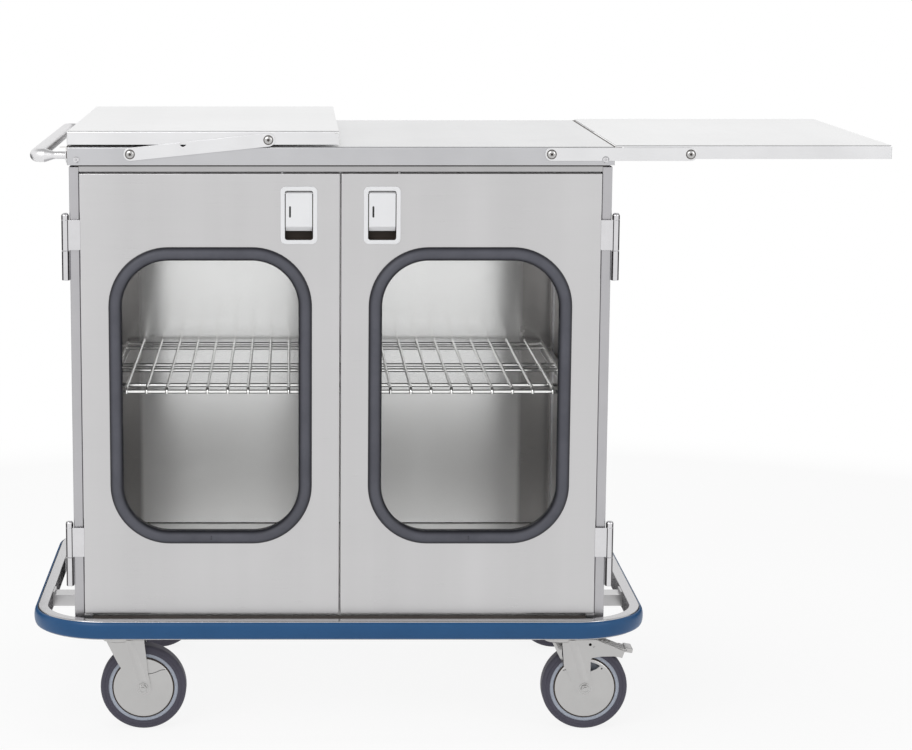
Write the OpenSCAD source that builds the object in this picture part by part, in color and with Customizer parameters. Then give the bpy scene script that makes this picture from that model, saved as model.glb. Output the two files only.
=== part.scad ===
// Case cart: a stainless steel cabinet on four swivel casters, with two glazed doors,
// a wire shelf, a work top and a fold-out wing at each end of the top.
// Millimetres, +Z up. The origin is on the floor, below the middle of the cart's bounding box
// with the left wing folded and the right wing extended. The doors face -Y.

/* [Cabinet] */
// Width across the side walls
cab_w = 913; // [860:1:960]
// Depth from the front stiles to the back wall
cab_d = 643; // [600:1:660]
// Height of the cabinet from its underside to its roof
cab_h = 785; // [700:1:900]
// Height of the cabinet's underside above the floor
cab_z = 205; // [203:1:230]
// Thickness of a side wall
side_t = 38.5; // [32:0.5:50]
// Thickness of the back wall
back_t = 35; // [25:1:45]
// Thickness of the floor pan
floor_t = 35; // [28:1:50]
// Thickness of the roof pan
roof_t = 27; // [22:1:40]
// Sheet gauge of the skins
skin = 1.5; // [1:0.1:2]
// Width of a front stile
stile_w = 16.5; // [14:0.5:20]
// Depth of the stiles, header and sill in front of the walls
stile_d = 20; // [19:0.5:26]
// Height of the header above the doors
header_h = 8.5; // [6:0.5:14]
// Height of the sill below the doors
sill_h = 9; // [6:0.5:12]

/* [Doors] */
// Thickness of a door
door_t = 25; // [22:0.5:28]
// How far a door stands in front of the stiles
door_proud = 7; // [5:0.5:8]
// Gap at a door's side edges
door_gap = 1; // [0.8:0.1:2]
// Gap above a door
door_head_gap = 2.5; // [2:0.1:4]
// Gap below a door
door_foot_gap = 5; // [4:0.5:8]

/* [Windows] */
// Distance from the window gasket's outer edge to the door's side edges
win_side = 46.5; // [42:0.5:80]
// Outer corner radius of the window gasket
win_r = 102; // [60:1:120]
// Height of the gasket's lower edge above the door's lower edge
win_up = 124; // [60:1:140]
// Gap between the gasket's upper edge and the latch bezel
win_gap = 5; // [2:1:60]
// Width of the gasket's bead
bead_w = 23.5; // [18:0.5:28]
// How far the bead stands in front of the door
bead_proud = 10; // [6:0.5:11]
// Thickness of the window pane
pane_t = 4; // [3:0.5:6]

/* [Latches] */
// Width of the latch bezel
bezel_w = 62; // [58:1:70]
// Height of the latch bezel
bezel_h = 97; // [92:1:105]
// Corner radius of the bezel
bezel_r = 9; // [4:1:12]
// Thickness of the bezel
bezel_t = 3; // [2:0.5:4]
// Distance from the door's free edge to the bezel
bezel_in = 38; // [34:1:44]
// Distance from the door's upper edge to the bezel
bezel_drop = 22; // [20:1:30]
// Width of the opening in the bezel
cup_w = 47.5; // [44:0.5:50]
// Height of the opening in the bezel
cup_h = 83; // [78:1:86]
// Depth of the cup behind the door's front face
cup_d = 17; // [16:0.5:18]
// Height of the paddle
paddle_h = 70; // [62:1:72]
// Diameter of the paddle's shaft
latch_shaft_d = 4; // [3.5:0.5:5]

/* [Hinges] */
// Diameter of a knuckle
knuckle_d = 13; // [12:0.5:14]
// Diameter of a hinge pin
hinge_pin_d = 7; // [6:0.5:8]
// Height of the frame's half of a hinge
knuckle_low_h = 50; // [40:1:60]
// Height of the door's half of a hinge
knuckle_high_h = 60; // [52:1:70]
// Height of a door leaf
leaf_h = 51; // [40:1:52]
// Thickness of a leaf
leaf_t = 2; // [1.5:0.5:2]
// Height of the lower hinge above the door's lower edge
hinge_low = 49; // [30:1:80]
// Distance from the door's upper edge down to the top of the upper hinge
hinge_high = 67; // [50:1:100]

/* [Top] */
// How far the work top stands out over each side wall
top_side = 2; // [1:0.5:12]
// How far the work top stands out over the cabinet's front
top_front = 12; // [8:0.5:20]
// How far the work top stands out over the cabinet's back
top_back = 5; // [4:0.5:20]
// Height of the work top's apron
top_h = 31; // [28:1:40]
// Height of the reveal between the roof and the work top
reveal = 3; // [2:0.5:6]
// Bend radius along the edges of the tops
edge_r = 3; // [2:0.5:4]
// How far a corner blade stands out from the end of the top
blade_l = 12; // [8:1:14]

/* [Wings] */
// Length of a wing
wing_l = 456; // [420:1:456]
// Height of a wing's apron
wing_h = 23; // [20:1:26]
// How far an extended wing stands above the work top
wing_step = 2.5; // [1.5:0.5:4]
// Length of an arm between its pivots
arm_l = 232.5; // [220:0.5:236]
// Width of an arm
arm_w = 22; // [20:0.5:24]
// Thickness of an arm
arm_t = 3; // [2:0.5:4]
// Distance from the end of the top to the arm's pivot
pivot_in = 106; // [100:1:112]
// Depth of the arm's pivot below the work top
pivot_drop = 12.5; // [12:0.5:14]
// Distance from a wing's inner end to its pivot
wing_pivot_in = 119; // [110:1:124]
// Slope of an arm when its wing is folded
fold_angle = 5.9; // [5.6:0.1:7]
// Diameter of a pivot screw's shank
screw_d = 8; // [6:0.5:9]
// Diameter of a pivot screw's head
screw_head_d = 14; // [12:0.5:16]
// Distance from the end of the top to a stop pin
stop_in = 15.7; // [14:0.1:20]
// Depth of a stop pin below the pivot
stop_drop = 9; // [8:0.5:10]
// Diameter of a stop pin
stop_d = 10; // [8:0.5:10]

/* [Handle] */
// Diameter of the push handle
handle_d = 22; // [18:1:24]
// Distance from the end of the top to the outside of the handle
handle_out = 60; // [55:1:62]
// Distance from the long edges of the top to the axes of the handle's legs
handle_in = 25; // [20:1:80]
// Depth of the handle's axis below the work top
handle_drop = 16; // [14:1:17]

/* [Bumper] */
// Distance from a side wall to the outside of the bumper's strip
bumper_out_x = 77.5; // [70:0.5:84]
// Distance from the cabinet's front and back to the outside of the bumper's strip
bumper_out_y = 45.5; // [42:0.5:50]
// Outer corner radius of the bumper
bumper_r = 130; // [90:1:138]
// Height of the bumper rail
rail_h = 33; // [26:1:34]
// Depth of the bumper rail's channel
rail_t = 18; // [14:1:20]
// Gauge of the bumper rail
rail_gauge = 2; // [1.5:0.5:3]
// Thickness of the bumper's strip
strip_t = 5.5; // [4:0.5:7]
// Height of the bumper's lower edge above the floor
rail_z = 182; // [180:1:184]

/* [Shelf] */
// Height of the shelf's wires above the floor
shelf_z = 608; // [400:1:760]
// Depth of the shelf
shelf_d = 556; // [480:1:560]
// Diameter of a shelf wire
wire_d = 5.5; // [4:0.5:7]
// Diameter of a shelf cross rod
rod_d = 7; // [6:0.5:9]
// Number of shelf wires
wire_n = 22; // [14:2:26]

/* [Casters] */
// Diameter of a wheel
wheel_d = 150; // [125:1:150]
// Width of a tyre
tyre_w = 32; // [28:1:34]
// Thickness of a tyre
tyre_t = 14.3; // [10:0.1:18]
// Trail from the swivel axis to the axle
trail = 44; // [38:1:46]
// Distance from a side wall to the swivel axes below it
caster_in_x = 70.5; // [66:0.5:100]
// Distance from the cabinet's front or back to the swivel axes, measured at its middle
caster_in_y = 55.5; // [51:0.5:90]
// Height of a caster's mounting face above the floor
caster_h = 190; // [188:1:192]
// Diameter of an axle
axle_d = 10; // [8:1:12]

/* [Hidden] */
$fn = 48;

steel = "silver";
steel_light = "gainsboro";
rubber = "darkslategray";
blue = "steelblue";
glass = [0.85, 0.92, 0.95, 0.35];

// Clearances
play = 0.05;        // between a shaft and its bore, on the radius
soft_gap = 0.3;     // between curved faces of two pieces
seat_gap = 0.5;     // between flat faces that slide past each other

// Levels above the floor
cab_top = cab_z + cab_h;
top_under = cab_top + reveal;
top_z = top_under + top_h;
pivot_z = top_z - pivot_drop;
door_z0 = cab_z + sill_h + door_foot_gap;
door_z1 = cab_top - header_h - door_head_gap;
door_h = door_z1 - door_z0;
axle_z = wheel_d / 2;

// Places across the cart, from the work top's middle; the cabinet stands a little behind it
top_d = cab_d + top_front + top_back;
cab_shift = (top_front - top_back) / 2;
front_y = cab_shift - cab_d / 2;
back_y = front_y + cab_d;
door_y = front_y - door_proud;
door_back_y = door_y + door_t;
inner_x = cab_w / 2 - side_t;
inner_back_y = back_y - back_t;
wall_front_y = front_y + stile_d;

// Places along the cart, from its middle, on the right-hand side
stile_x = cab_w / 2 - stile_w;
door_x0 = door_gap;
door_x1 = stile_x - door_gap;
door_w = door_x1 - door_x0;
door_mid = (door_x0 + door_x1) / 2;
hinge_x = cab_w / 2 + knuckle_d / 2 + seat_gap;
hinge_y = door_y - leaf_t + knuckle_d / 2;
knuckle_h = knuckle_low_h + seat_gap + knuckle_high_h;
hinge_zs = [door_z0 + hinge_low, door_z1 - hinge_high - knuckle_h];

// Latch
bezel_mid = door_x0 + bezel_in + bezel_w / 2;
bezel_top = door_z1 - bezel_drop;
cup_top = bezel_top - (bezel_h - cup_h) / 2;
cup_wall = 1.5;
shaft_drop = 4.2;
shaft_in = 5;
shaft_z = cup_top - shaft_drop;
shaft_y = door_y + shaft_in;
paddle_t = 3;
paddle_w = cup_w - 2 * seat_gap;
pawl_t = 3;
pawl_tip = door_z1 + 1.2;

// Wing mechanism
top_w = cab_w + 2 * top_side;
pivot_x = top_w / 2 - pivot_in;
wing_pivot_drop = pivot_drop + wing_step;
wing_x0 = pivot_x + arm_l - wing_pivot_in;
wing_top_z = top_z + wing_step;
fold_shift = arm_l * (1 + cos(fold_angle));
fold_rise = arm_l * sin(fold_angle);
arm_y = top_d / 2 + seat_gap;
wing_d = top_d;
stop_clear = 0.6;

// Bumper
bumper_w = cab_w + 2 * bumper_out_x;
bumper_d = cab_d + 2 * bumper_out_y;

// Overall length, for the origin
row_x = (wing_x0 + wing_l - bumper_w / 2) / 2;

// Window openings, shared by the door skins, the gasket and the pane
lip_over = 6;
win_w = door_w - 2 * win_side;
win_z0 = door_z0 + win_up;
win_h = bezel_top - bezel_h - win_gap - win_z0;
open_w = win_w - 2 * lip_over;
open_h = win_h - 2 * lip_over;
open_r = win_r - lip_over;
pane_hold = 10;
pane_set = 3;
pane_y = door_y + pane_set;

// Shelf
pilaster_t = 3;
pilaster_w = 25;
pilaster_y = 240;
slot_pitch = 25;
shelf_w = 2 * (inner_x - 17);
wire_inset = 34.5;
shelf_front = wall_front_y + 15;
wire_pitch = (shelf_w - 2 * wire_inset) / (wire_n - 1);
rod_z = shelf_z - wire_d - rod_d / 2 + 1;
rail_under = 5;
support_z = rod_z - rod_d / 2 - rail_under;

// Caster
caster_x = cab_w / 2 - caster_in_x;
caster_y = cab_d / 2 - caster_in_y;
fork_in = tyre_w / 2 + 3;
fork_t = 4;
fork_crown_z = wheel_d + 8;
crown_t = 4;
crown_top = fork_crown_z + crown_t;
crown_over = 22;
plate_t = 5;
race_h = 10;
guard_r = 52.5;
core_r = wheel_d / 2 - tyre_t;
hub_boss_r = 17;
pedal_pin_x = 8;
pedal_pin_z = fork_crown_z - 4;
pedal_pin_r = 3;

module at_cart() translate([-row_x, 0, 0]) children();

// A piece drawn for the right-hand side, kept there (s = 1) or mirrored to the left (s = -1)
module on_side(s) mirror([s < 0 ? 1 : 0, 0, 0]) children();

// A piece and its mirror image across a plane through the middle
module pair(axis) {
    children();
    mirror(axis) children();
}

module rounded_rect(w, h, r) {
    square([w - 2 * r, h], center = true);
    square([w, h - 2 * r], center = true);
    for (x = [-1, 1], y = [-1, 1]) translate([x * (w / 2 - r), y * (h / 2 - r)]) circle(r);
}

// A rectangle that stands on its lower edge and is round at its two upper corners
module bent_section(w, h, r) {
    translate([-w / 2, 0]) square([w, h - r]);
    translate([-w / 2 + r, 0]) square([w - 2 * r, h]);
    for (x = [-1, 1]) translate([x * (w / 2 - r), h - r]) circle(r);
}

// A profile drawn in X and Y, stood up and run along X or along Y
module run_x(l) rotate([90, 0, 90]) linear_extrude(height = l, center = true) children();
module run_y(l) rotate([90, 0, 0]) linear_extrude(height = l, center = true) children();

// A folded sheet-metal top, open below, with bent edges
module folded_top(l, d, h) {
    difference() {
        intersection() {
            run_y(d) bent_section(l, h, edge_r);
            run_x(l) bent_section(d, h, edge_r);
        }
        translate([-l / 2 + skin, -d / 2 + skin, -1]) cube([l - 2 * skin, d - 2 * skin, h - skin + 1]);
    }
}

// A closed loop of one profile round a rounded rectangle; the profile's X points outwards
module loop(w, d, r) {
    pair([1, 0, 0]) {
        translate([w / 2, 0, 0]) run_y(d - 2 * r) children();
        pair([0, 1, 0]) translate([w / 2 - r, d / 2 - r, 0])
            rotate_extrude(angle = 90) translate([r, 0]) children();
    }
    pair([0, 1, 0]) translate([0, d / 2, 0]) run_x(w - 2 * r) children();
}

// Hollow panel of folded sheet: a block less its inside, closed on every side
module hollow_block(size) {
    difference() {
        cube(size);
        translate([skin, skin, skin]) cube([size[0] - 2 * skin, size[1] - 2 * skin, size[2] - 2 * skin]);
    }
}

module tube_y(r, l) rotate([90, 0, 0]) cylinder(r = r, h = l, center = true);
module tube_x(r, l) rotate([0, 90, 0]) cylinder(r = r, h = l, center = true);

// Cabinet

// Two hollow walls, each with the stile that its door closes against
module side_walls() {
    profile = [
        [inner_x, wall_front_y], [stile_x, wall_front_y], [stile_x, front_y], [cab_w / 2, front_y],
        [cab_w / 2, back_y], [inner_x, back_y]
    ];
    hollow = [
        [inner_x + skin, wall_front_y + skin], [stile_x + skin, wall_front_y + skin],
        [stile_x + skin, front_y + skin], [cab_w / 2 - skin, front_y + skin],
        [cab_w / 2 - skin, back_y - skin], [inner_x + skin, back_y - skin]
    ];
    color(steel) at_cart() pair([1, 0, 0]) translate([0, 0, cab_z]) difference() {
        linear_extrude(height = cab_h) polygon(profile);
        translate([0, 0, skin]) linear_extrude(height = cab_h - 2 * skin) polygon(hollow);
    }
}

// Hollow wall of full height between the side walls
module back_wall() {
    color(steel) at_cart() translate([-inner_x, inner_back_y, cab_z])
        hollow_block([2 * inner_x, back_t, cab_h]);
}

// Hollow roof, and the header bar above the doors, which the stiles carry just clear of the roof
module roof_pan() {
    header_gap = 0.3;
    color(steel) at_cart() translate([0, 0, cab_top]) {
        translate([-inner_x, wall_front_y, -roof_t])
            hollow_block([2 * inner_x, inner_back_y - wall_front_y, roof_t]);
        translate([-stile_x, front_y, -header_h]) cube([2 * stile_x, stile_d - header_gap, header_h]);
    }
}

// Hollow floor with the sill below the doors and a small block at each end of it
module floor_pan() {
    end_block_l = 15;
    end_block_h = door_foot_gap - 1;
    color(steel) at_cart() translate([0, 0, cab_z]) {
        translate([-inner_x, wall_front_y, 0])
            hollow_block([2 * inner_x, inner_back_y - wall_front_y, floor_t]);
        translate([-stile_x, front_y, 0]) cube([2 * stile_x, stile_d, sill_h]);
        pair([1, 0, 0]) translate([stile_x - end_block_l, front_y, sill_h])
            cube([end_block_l, stile_d, end_block_h]);
    }
}

// Two cross channels that carry the casters and reach the bumper rail at the front and back
module base_frame() {
    channel_w = 120;
    channel_t = 3;
    reach = bumper_d / 2 - strip_t - rail_t;
    channel_h = cab_z - caster_h;
    color(steel) at_cart() pair([1, 0, 0]) translate([caster_x - channel_w / 2, -reach, caster_h])
        difference() {
            cube([channel_w, 2 * reach, channel_h]);
            translate([channel_t, -1, channel_t]) cube([channel_w - 2 * channel_t, 2 * reach + 2, channel_h]);
        }
}

// Top

// Work top with bores for the pivot screws and the stop pins in its aprons
module main_top() {
    color(steel_light) at_cart() difference() {
        translate([0, 0, top_under]) folded_top(top_w, top_d, top_h);
        for (s = [-1, 1]) translate([s * pivot_x, 0, pivot_z]) tube_y(screw_d / 2, top_d + 2);
        for (s = [-1, 1]) translate([s * (top_w / 2 - stop_in), 0, pivot_z - stop_drop])
            tube_y(stop_d / 4, top_d + 2);
    }
}

// A ring of inverted channel between the roof and the underside of the work top
module top_stiffener() {
    inset = 12;
    bar_w = 30;
    bar_t = 2;
    l = top_w - 2 * (skin + inset);
    d = top_d - 2 * (skin + inset);
    h = top_h + reveal - skin;
    color(steel) at_cart() translate([0, 0, cab_top]) difference() {
        translate([-l / 2, -d / 2, 0]) cube([l, d, h]);
        translate([-l / 2 + bar_w, -d / 2 + bar_w, -1]) cube([l - 2 * bar_w, d - 2 * bar_w, h + 2]);
        translate([0, 0, -1]) linear_extrude(height = h - bar_t + 1) difference() {
            square([l - 2 * bar_t, d - 2 * bar_t], center = true);
            square([l - 2 * (bar_w - bar_t), d - 2 * (bar_w - bar_t)], center = true);
        }
    }
}

// Small blades at the corners of the top, which steady the extended wings from below
module end_blades() {
    blade_t = 2;
    blade_w = 12;
    blade_y = top_d / 2 - skin - 1 - blade_w;
    foot_h = 7.5;
    color(steel) at_cart() for (sx = [-1, 1], sy = [-1, 1]) on_side(sx) scale([1, sy, 1]) {
        translate([top_w / 2, blade_y, top_z - blade_t]) cube([blade_l, blade_w, blade_t]);
        translate([top_w / 2, blade_y, top_z - foot_h]) cube([blade_t, blade_w, foot_h]);
    }
}

// Bent tube at the left end; its legs taper into a flange on the work top's end
module push_handle() {
    r = handle_d / 2;
    leg_r = 6.5;
    bend = 22;
    flange_t = 3;
    flange_r = 13;
    x_end = -top_w / 2;
    x_bar = x_end - handle_out + r;
    y_leg = top_d / 2 - handle_in;
    leg_l = x_end - x_bar - bend;
    taper_l = 14;
    color(steel_light) at_cart() translate([0, 0, top_z - handle_drop]) {
        translate([x_bar, 0, 0]) tube_y(r, 2 * (y_leg - bend));
        pair([0, 1, 0]) {
            translate([x_bar + bend, y_leg - bend, 0]) rotate([0, 0, 90])
                rotate_extrude(angle = 90) translate([bend, 0]) circle(r);
            translate([x_bar + bend, y_leg, 0]) rotate([0, 90, 0]) {
                cylinder(r1 = r, r2 = leg_r, h = taper_l);
                cylinder(r = leg_r, h = leg_l);
            }
            translate([x_end - flange_t, y_leg, 0]) rotate([0, 90, 0]) cylinder(r = flange_r, h = flange_t);
        }
    }
}

// Screws, nuts and stop pins in the work top's aprons, at the front and the back
module pivot_screw(apron_y, grip) {
    head_t = 2.5;
    nut_r = 7;
    nut_t = 5;
    translate([0, -apron_y, 0]) rotate([90, 0, 0]) {
        translate([0, 0, grip]) cylinder(r1 = screw_head_d / 2, r2 = screw_head_d / 2 - 1.2, h = head_t);
        translate([0, 0, -skin - nut_t]) cylinder(r = screw_d / 2 - play, h = skin + nut_t + grip + 0.5);
        translate([0, 0, -skin - nut_t]) cylinder(r = nut_r, h = nut_t, $fn = 6);
    }
}

module top_screws() {
    grip = arm_y + arm_t + 0.2 - top_d / 2;
    color(steel_light) at_cart() pair([0, 1, 0]) for (s = [-1, 1]) {
        translate([s * pivot_x, 0, pivot_z]) pivot_screw(top_d / 2, grip);
        translate([s * (top_w / 2 - stop_in), -top_d / 2, pivot_z - stop_drop]) rotate([90, 0, 0]) {
            cylinder(r = stop_d / 2, h = arm_t + 1);
            translate([0, 0, -skin - 2]) cylinder(r = stop_d / 4 - play, h = skin + 3);
        }
    }
}

// Bumper

module rail_section() {
    difference() {
        translate([-rail_t, 0]) square([rail_t, rail_h]);
        translate([-rail_t - 1, rail_gauge]) square([rail_t + 1 - rail_gauge, rail_h - 2 * rail_gauge]);
    }
}

module strip_section() {
    h = rail_h - 4;
    intersection() {
        translate([0, 2]) square([strip_t, h]);
        union() {
            translate([0, 2]) square([strip_t / 2, h]);
            translate([0, 2 + strip_t / 2]) square([strip_t, h - strip_t]);
            for (y = [2 + strip_t / 2, 2 + h - strip_t / 2]) translate([strip_t / 2, y]) circle(strip_t / 2);
        }
    }
}

module bumper_loop() {
    w = bumper_w - 2 * strip_t;
    d = bumper_d - 2 * strip_t;
    at_cart() translate([0, 0, rail_z]) loop(w, d, bumper_r - strip_t) children();
}

// Channel that runs round the cart, open inwards
module bumper_rail() {
    color(steel_light) bumper_loop() rail_section();
}

// Rounded strip on the outside of the rail
module bumper_strip() {
    color(blue) bumper_loop() strip_section();
}

// Bent plates that carry the rail at the side walls
module bumper_brackets() {
    bracket_w = 40;
    bracket_t = 3;
    bracket_y = 128;
    arm_h = 20;
    wall_h = 17;
    x0 = cab_w / 2;
    x1 = bumper_w / 2 - strip_t - rail_t;
    z0 = rail_z + 5;
    color(steel) at_cart() pair([1, 0, 0]) pair([0, 1, 0]) translate([x0, bracket_y - bracket_w / 2, z0]) {
        translate([0, 0, cab_z - z0]) cube([bracket_t, bracket_w, wall_h]);
        difference() {
            cube([x1 - x0, bracket_w, arm_h]);
            translate([bracket_t, bracket_t, -1])
                cube([x1 - x0 - 2 * bracket_t, bracket_w - 2 * bracket_t, arm_h - bracket_t + 1]);
        }
        translate([x1 - x0 - bracket_t, 0, 0]) cube([bracket_t, bracket_w, rail_h - 7]);
    }
}

// Interior

// Slotted strips on the side walls that the shelf's supports hook into
module pilasters() {
    z0 = cab_z + floor_t + 12;
    h = cab_h - floor_t - roof_t - 24;
    slot_w = 5;
    slot_h = 13;
    color(steel_light) at_cart() pair([1, 0, 0]) pair([0, 1, 0])
        translate([inner_x - pilaster_t, pilaster_y - pilaster_w / 2, z0]) difference() {
            cube([pilaster_t, pilaster_w, h]);
            for (z = [slot_pitch : slot_pitch : h - slot_pitch])
                translate([-1, (pilaster_w - slot_w) / 2, z]) cube([pilaster_t + 2, slot_w, slot_h]);
        }
}

// Angles that carry the shelf's side rails
module shelf_supports() {
    leg_t = 2;
    ledge = 22;
    leg_h = 34;
    l = 2 * pilaster_y + 60;
    color(steel) at_cart() pair([1, 0, 0]) translate([inner_x - pilaster_t - ledge, -l / 2, support_z]) {
        translate([0, 0, -leg_t]) cube([ledge, l, leg_t]);
        translate([ledge - leg_t, 0, -leg_h]) cube([leg_t, l, leg_h]);
    }
}

// Wires that bend down at the front, over cross rods and two side rails
module wire_shelf() {
    r = wire_d / 2;
    drop_r = 7;
    drop = 8;
    rod_front = 4;
    rod_back = 12;
    rod_step = 67;
    rod_mid = shelf_d / 2 - 48;
    rod_pair = 58;
    rod_last = shelf_d - rod_back;
    rod_ys = [rod_front, rod_front + rod_step, rod_mid, rod_mid + rod_pair, rod_last - 54, rod_last];
    rail_w = 5;
    color(steel_light) at_cart() translate([0, shelf_front, 0]) {
        for (i = [0 : wire_n - 1]) translate([(i - (wire_n - 1) / 2) * wire_pitch, 0, shelf_z - r]) {
            translate([0, (shelf_d + drop_r) / 2, 0]) tube_y(r, shelf_d - drop_r);
            translate([0, drop_r, -drop_r]) rotate([90, 0, 90]) rotate([0, 0, 90])
                rotate_extrude(angle = 90) translate([drop_r, 0]) circle(r);
            translate([0, 0, -drop_r - drop]) cylinder(r = r, h = drop);
        }
        for (y = rod_ys) translate([0, y, rod_z]) tube_x(rod_d / 2, shelf_w - 2);
        pair([1, 0, 0]) translate([shelf_w / 2 - rail_w, 0, support_z])
            cube([rail_w, shelf_d, rod_d + rail_under]);
    }
}

// Doors

// Lower knuckles on weld plates, each with the pin that stands up into the door's knuckle
module frame_hinges() {
    plate_w = 30;
    pin_up = knuckle_high_h - 12;
    color(steel_light) at_cart() for (s = [-1, 1], z = hinge_zs) on_side(s) translate([hinge_x, hinge_y, z]) {
        cylinder(r = knuckle_d / 2, h = knuckle_low_h);
        cylinder(r = hinge_pin_d / 2, h = knuckle_low_h + seat_gap + pin_up);
        translate([cab_w / 2 - hinge_x, 0, 0]) cube([3, plate_w, knuckle_low_h]);
    }
}

// Upper knuckles with their bores, each on the leaf that is welded to the door
module hinge_leaves(s) {
    leaf_over = 2.5;
    cap_h = 3;
    bore_h = knuckle_high_h - 10;
    leaf_z = knuckle_low_h + seat_gap + 1;
    color(steel_light) at_cart() on_side(s) for (z = hinge_zs) translate([hinge_x, hinge_y, z]) {
        translate([0, 0, knuckle_low_h + seat_gap]) difference() {
            union() {
                cylinder(r = knuckle_d / 2, h = knuckle_high_h - cap_h);
                translate([0, 0, knuckle_high_h - cap_h])
                    cylinder(r1 = knuckle_d / 2, r2 = knuckle_d / 2 - 2, h = cap_h);
            }
            translate([0, 0, -1]) cylinder(r = hinge_pin_d / 2 + play, h = bore_h + 1);
        }
        translate([door_x1 - leaf_over - hinge_x, -knuckle_d / 2, leaf_z])
            cube([hinge_x - door_x1 + leaf_over, leaf_t, leaf_h]);
    }
}

module window_outline(w, h, r) {
    translate([door_mid, win_z0 + win_h / 2]) rounded_rect(w, h, r);
}

// A flat sheet drawn in X and Z, with its front face at y
module sheet_at(y, t) translate([0, y + t, 0]) rotate([90, 0, 0]) linear_extrude(height = t) children();

module latch_cut() {
    grow = cup_wall + seat_gap;
    translate([bezel_mid - cup_w / 2 - grow, cup_top - cup_h - grow])
        square([cup_w + 2 * grow, cup_h + 2 * grow]);
}

// Front skin with its four folded edges; a slot in the upper edge lets the pawl through
module door_pan(s) {
    slot_w = pawl_t + 4;
    slot_in = 3;
    color(steel) at_cart() on_side(s) difference() {
        translate([door_x0, door_y, door_z0]) cube([door_w, door_t, door_h]);
        translate([door_x0 + skin, door_y + skin, door_z0 + skin])
            cube([door_w - 2 * skin, door_t, door_h - 2 * skin]);
        sheet_at(door_y - 1, skin + 2) window_outline(open_w, open_h, open_r);
        sheet_at(door_y - 1, skin + 2) latch_cut();
        translate([bezel_mid + cup_w / 2 + cup_wall + seat_gap, door_y + slot_in, door_z1 - skin - 1])
            cube([slot_w, door_t - skin - slot_in - seat_gap, skin + 2]);
    }
}

// Back skin, seated inside the pan's folded edges
module door_liner(s) {
    fit = 0.2;
    color(steel) at_cart() on_side(s) sheet_at(door_back_y - skin, skin) difference() {
        translate([door_x0 + skin + fit, door_z0 + skin + fit])
            square([door_w - 2 * (skin + fit), door_h - 2 * (skin + fit)]);
        window_outline(open_w, open_h, open_r);
    }
}

// Rubber section: a round bead over the front skin, a neck with the groove for the pane, and
// a flat bead over the back skin. X is outwards from the visible inner edge, Y is forwards.
module gasket_section() {
    r = bead_w / 2;
    neck_in = 4;
    neck_out = bead_w - lip_over - soft_gap;
    rear_t = 2.5;
    intersection() {
        translate([r, bead_proud - r]) circle(r);
        square([bead_w, bead_w]);
    }
    difference() {
        translate([neck_in, -door_t - rear_t]) square([neck_out - neck_in, door_t + rear_t + 1]);
        translate([0, -pane_set - pane_t]) square([pane_hold + soft_gap, pane_t]);
    }
    translate([neck_in, -door_t - rear_t]) square([bead_w - neck_in - 1, rear_t]);
}

// Gasket run round the window opening
module window_gasket(s) {
    color(rubber) at_cart() on_side(s) translate([door_mid, door_y, win_z0 + win_h / 2])
        rotate([90, 0, 0]) loop(win_w - 2 * bead_w, win_h - 2 * bead_w, win_r - bead_w) gasket_section();
}

// Pane held in the gasket's groove
module window_pane(s) {
    grow = 2 * pane_hold;
    color(glass) at_cart() on_side(s) sheet_at(pane_y, pane_t)
        window_outline(win_w - 2 * bead_w + grow, win_h - 2 * bead_w + grow, win_r - bead_w + grow / 2);
}

// Latches

// Frame on the door's face with the cup behind it
module latch_bezel(s) {
    color("white") at_cart() on_side(s) difference() {
        union() {
            sheet_at(door_y - bezel_t, bezel_t) translate([bezel_mid, bezel_top - bezel_h / 2])
                rounded_rect(bezel_w, bezel_h, bezel_r);
            translate([bezel_mid - cup_w / 2 - cup_wall, door_y - 0.5, cup_top - cup_h - cup_wall])
                cube([cup_w + 2 * cup_wall, cup_d + 0.5, cup_h + 2 * cup_wall]);
        }
        translate([bezel_mid - cup_w / 2, door_y - bezel_t - 1, cup_top - cup_h])
            cube([cup_w, cup_d - cup_wall + bezel_t + 1, cup_h]);
        translate([bezel_mid, shaft_y, shaft_z]) tube_x(latch_shaft_d / 2 + play, cup_w + 4 * cup_wall);
    }
}

// A bent plate that hangs from its shaft; its foot slants in to leave room for the fingers
module latch_paddle(s) {
    barrel_r = latch_shaft_d / 2 + 1.6;
    lip = 0.6;
    face_y = door_y - bezel_t;
    profile = [
        [face_y, shaft_z + lip], [face_y, shaft_z - paddle_h + 14], [face_y + 7, shaft_z - paddle_h + 6],
        [face_y + 7 + paddle_t, shaft_z - paddle_h + 6], [face_y + paddle_t, shaft_z - paddle_h + 14],
        [face_y + paddle_t, shaft_z + lip]
    ];
    color("white") at_cart() on_side(s) translate([bezel_mid, 0, 0]) difference() {
        union() {
            run_x(paddle_w) polygon(profile);
            translate([-paddle_w / 2, face_y + 1, shaft_z - barrel_r])
                cube([paddle_w, shaft_y - face_y - 1, barrel_r + lip]);
            translate([0, shaft_y, shaft_z]) tube_x(barrel_r, paddle_w);
        }
        translate([0, shaft_y, shaft_z]) tube_x(latch_shaft_d / 2 + play / 5, paddle_w + 2);
    }
}

// Shaft and pawl; the pawl's tip stands in the gap between the door and the header
module latch_pawl(s) {
    reach = cup_w / 2 + cup_wall + 1.5;
    color(steel_light) at_cart() on_side(s) translate([bezel_mid, shaft_y, shaft_z]) {
        translate([-cup_w / 2 - cup_wall, 0, 0]) rotate([0, 90, 0])
            cylinder(r = latch_shaft_d / 2, h = cup_w + cup_wall + reach - cup_w / 2 - cup_wall + pawl_t);
        translate([reach, 0, 0]) rotate([90, 0, 90]) linear_extrude(height = pawl_t) {
            circle(3.2);
            translate([-2, 0]) square([4, pawl_tip - shaft_z]);
        }
    }
}

// Wings

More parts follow.
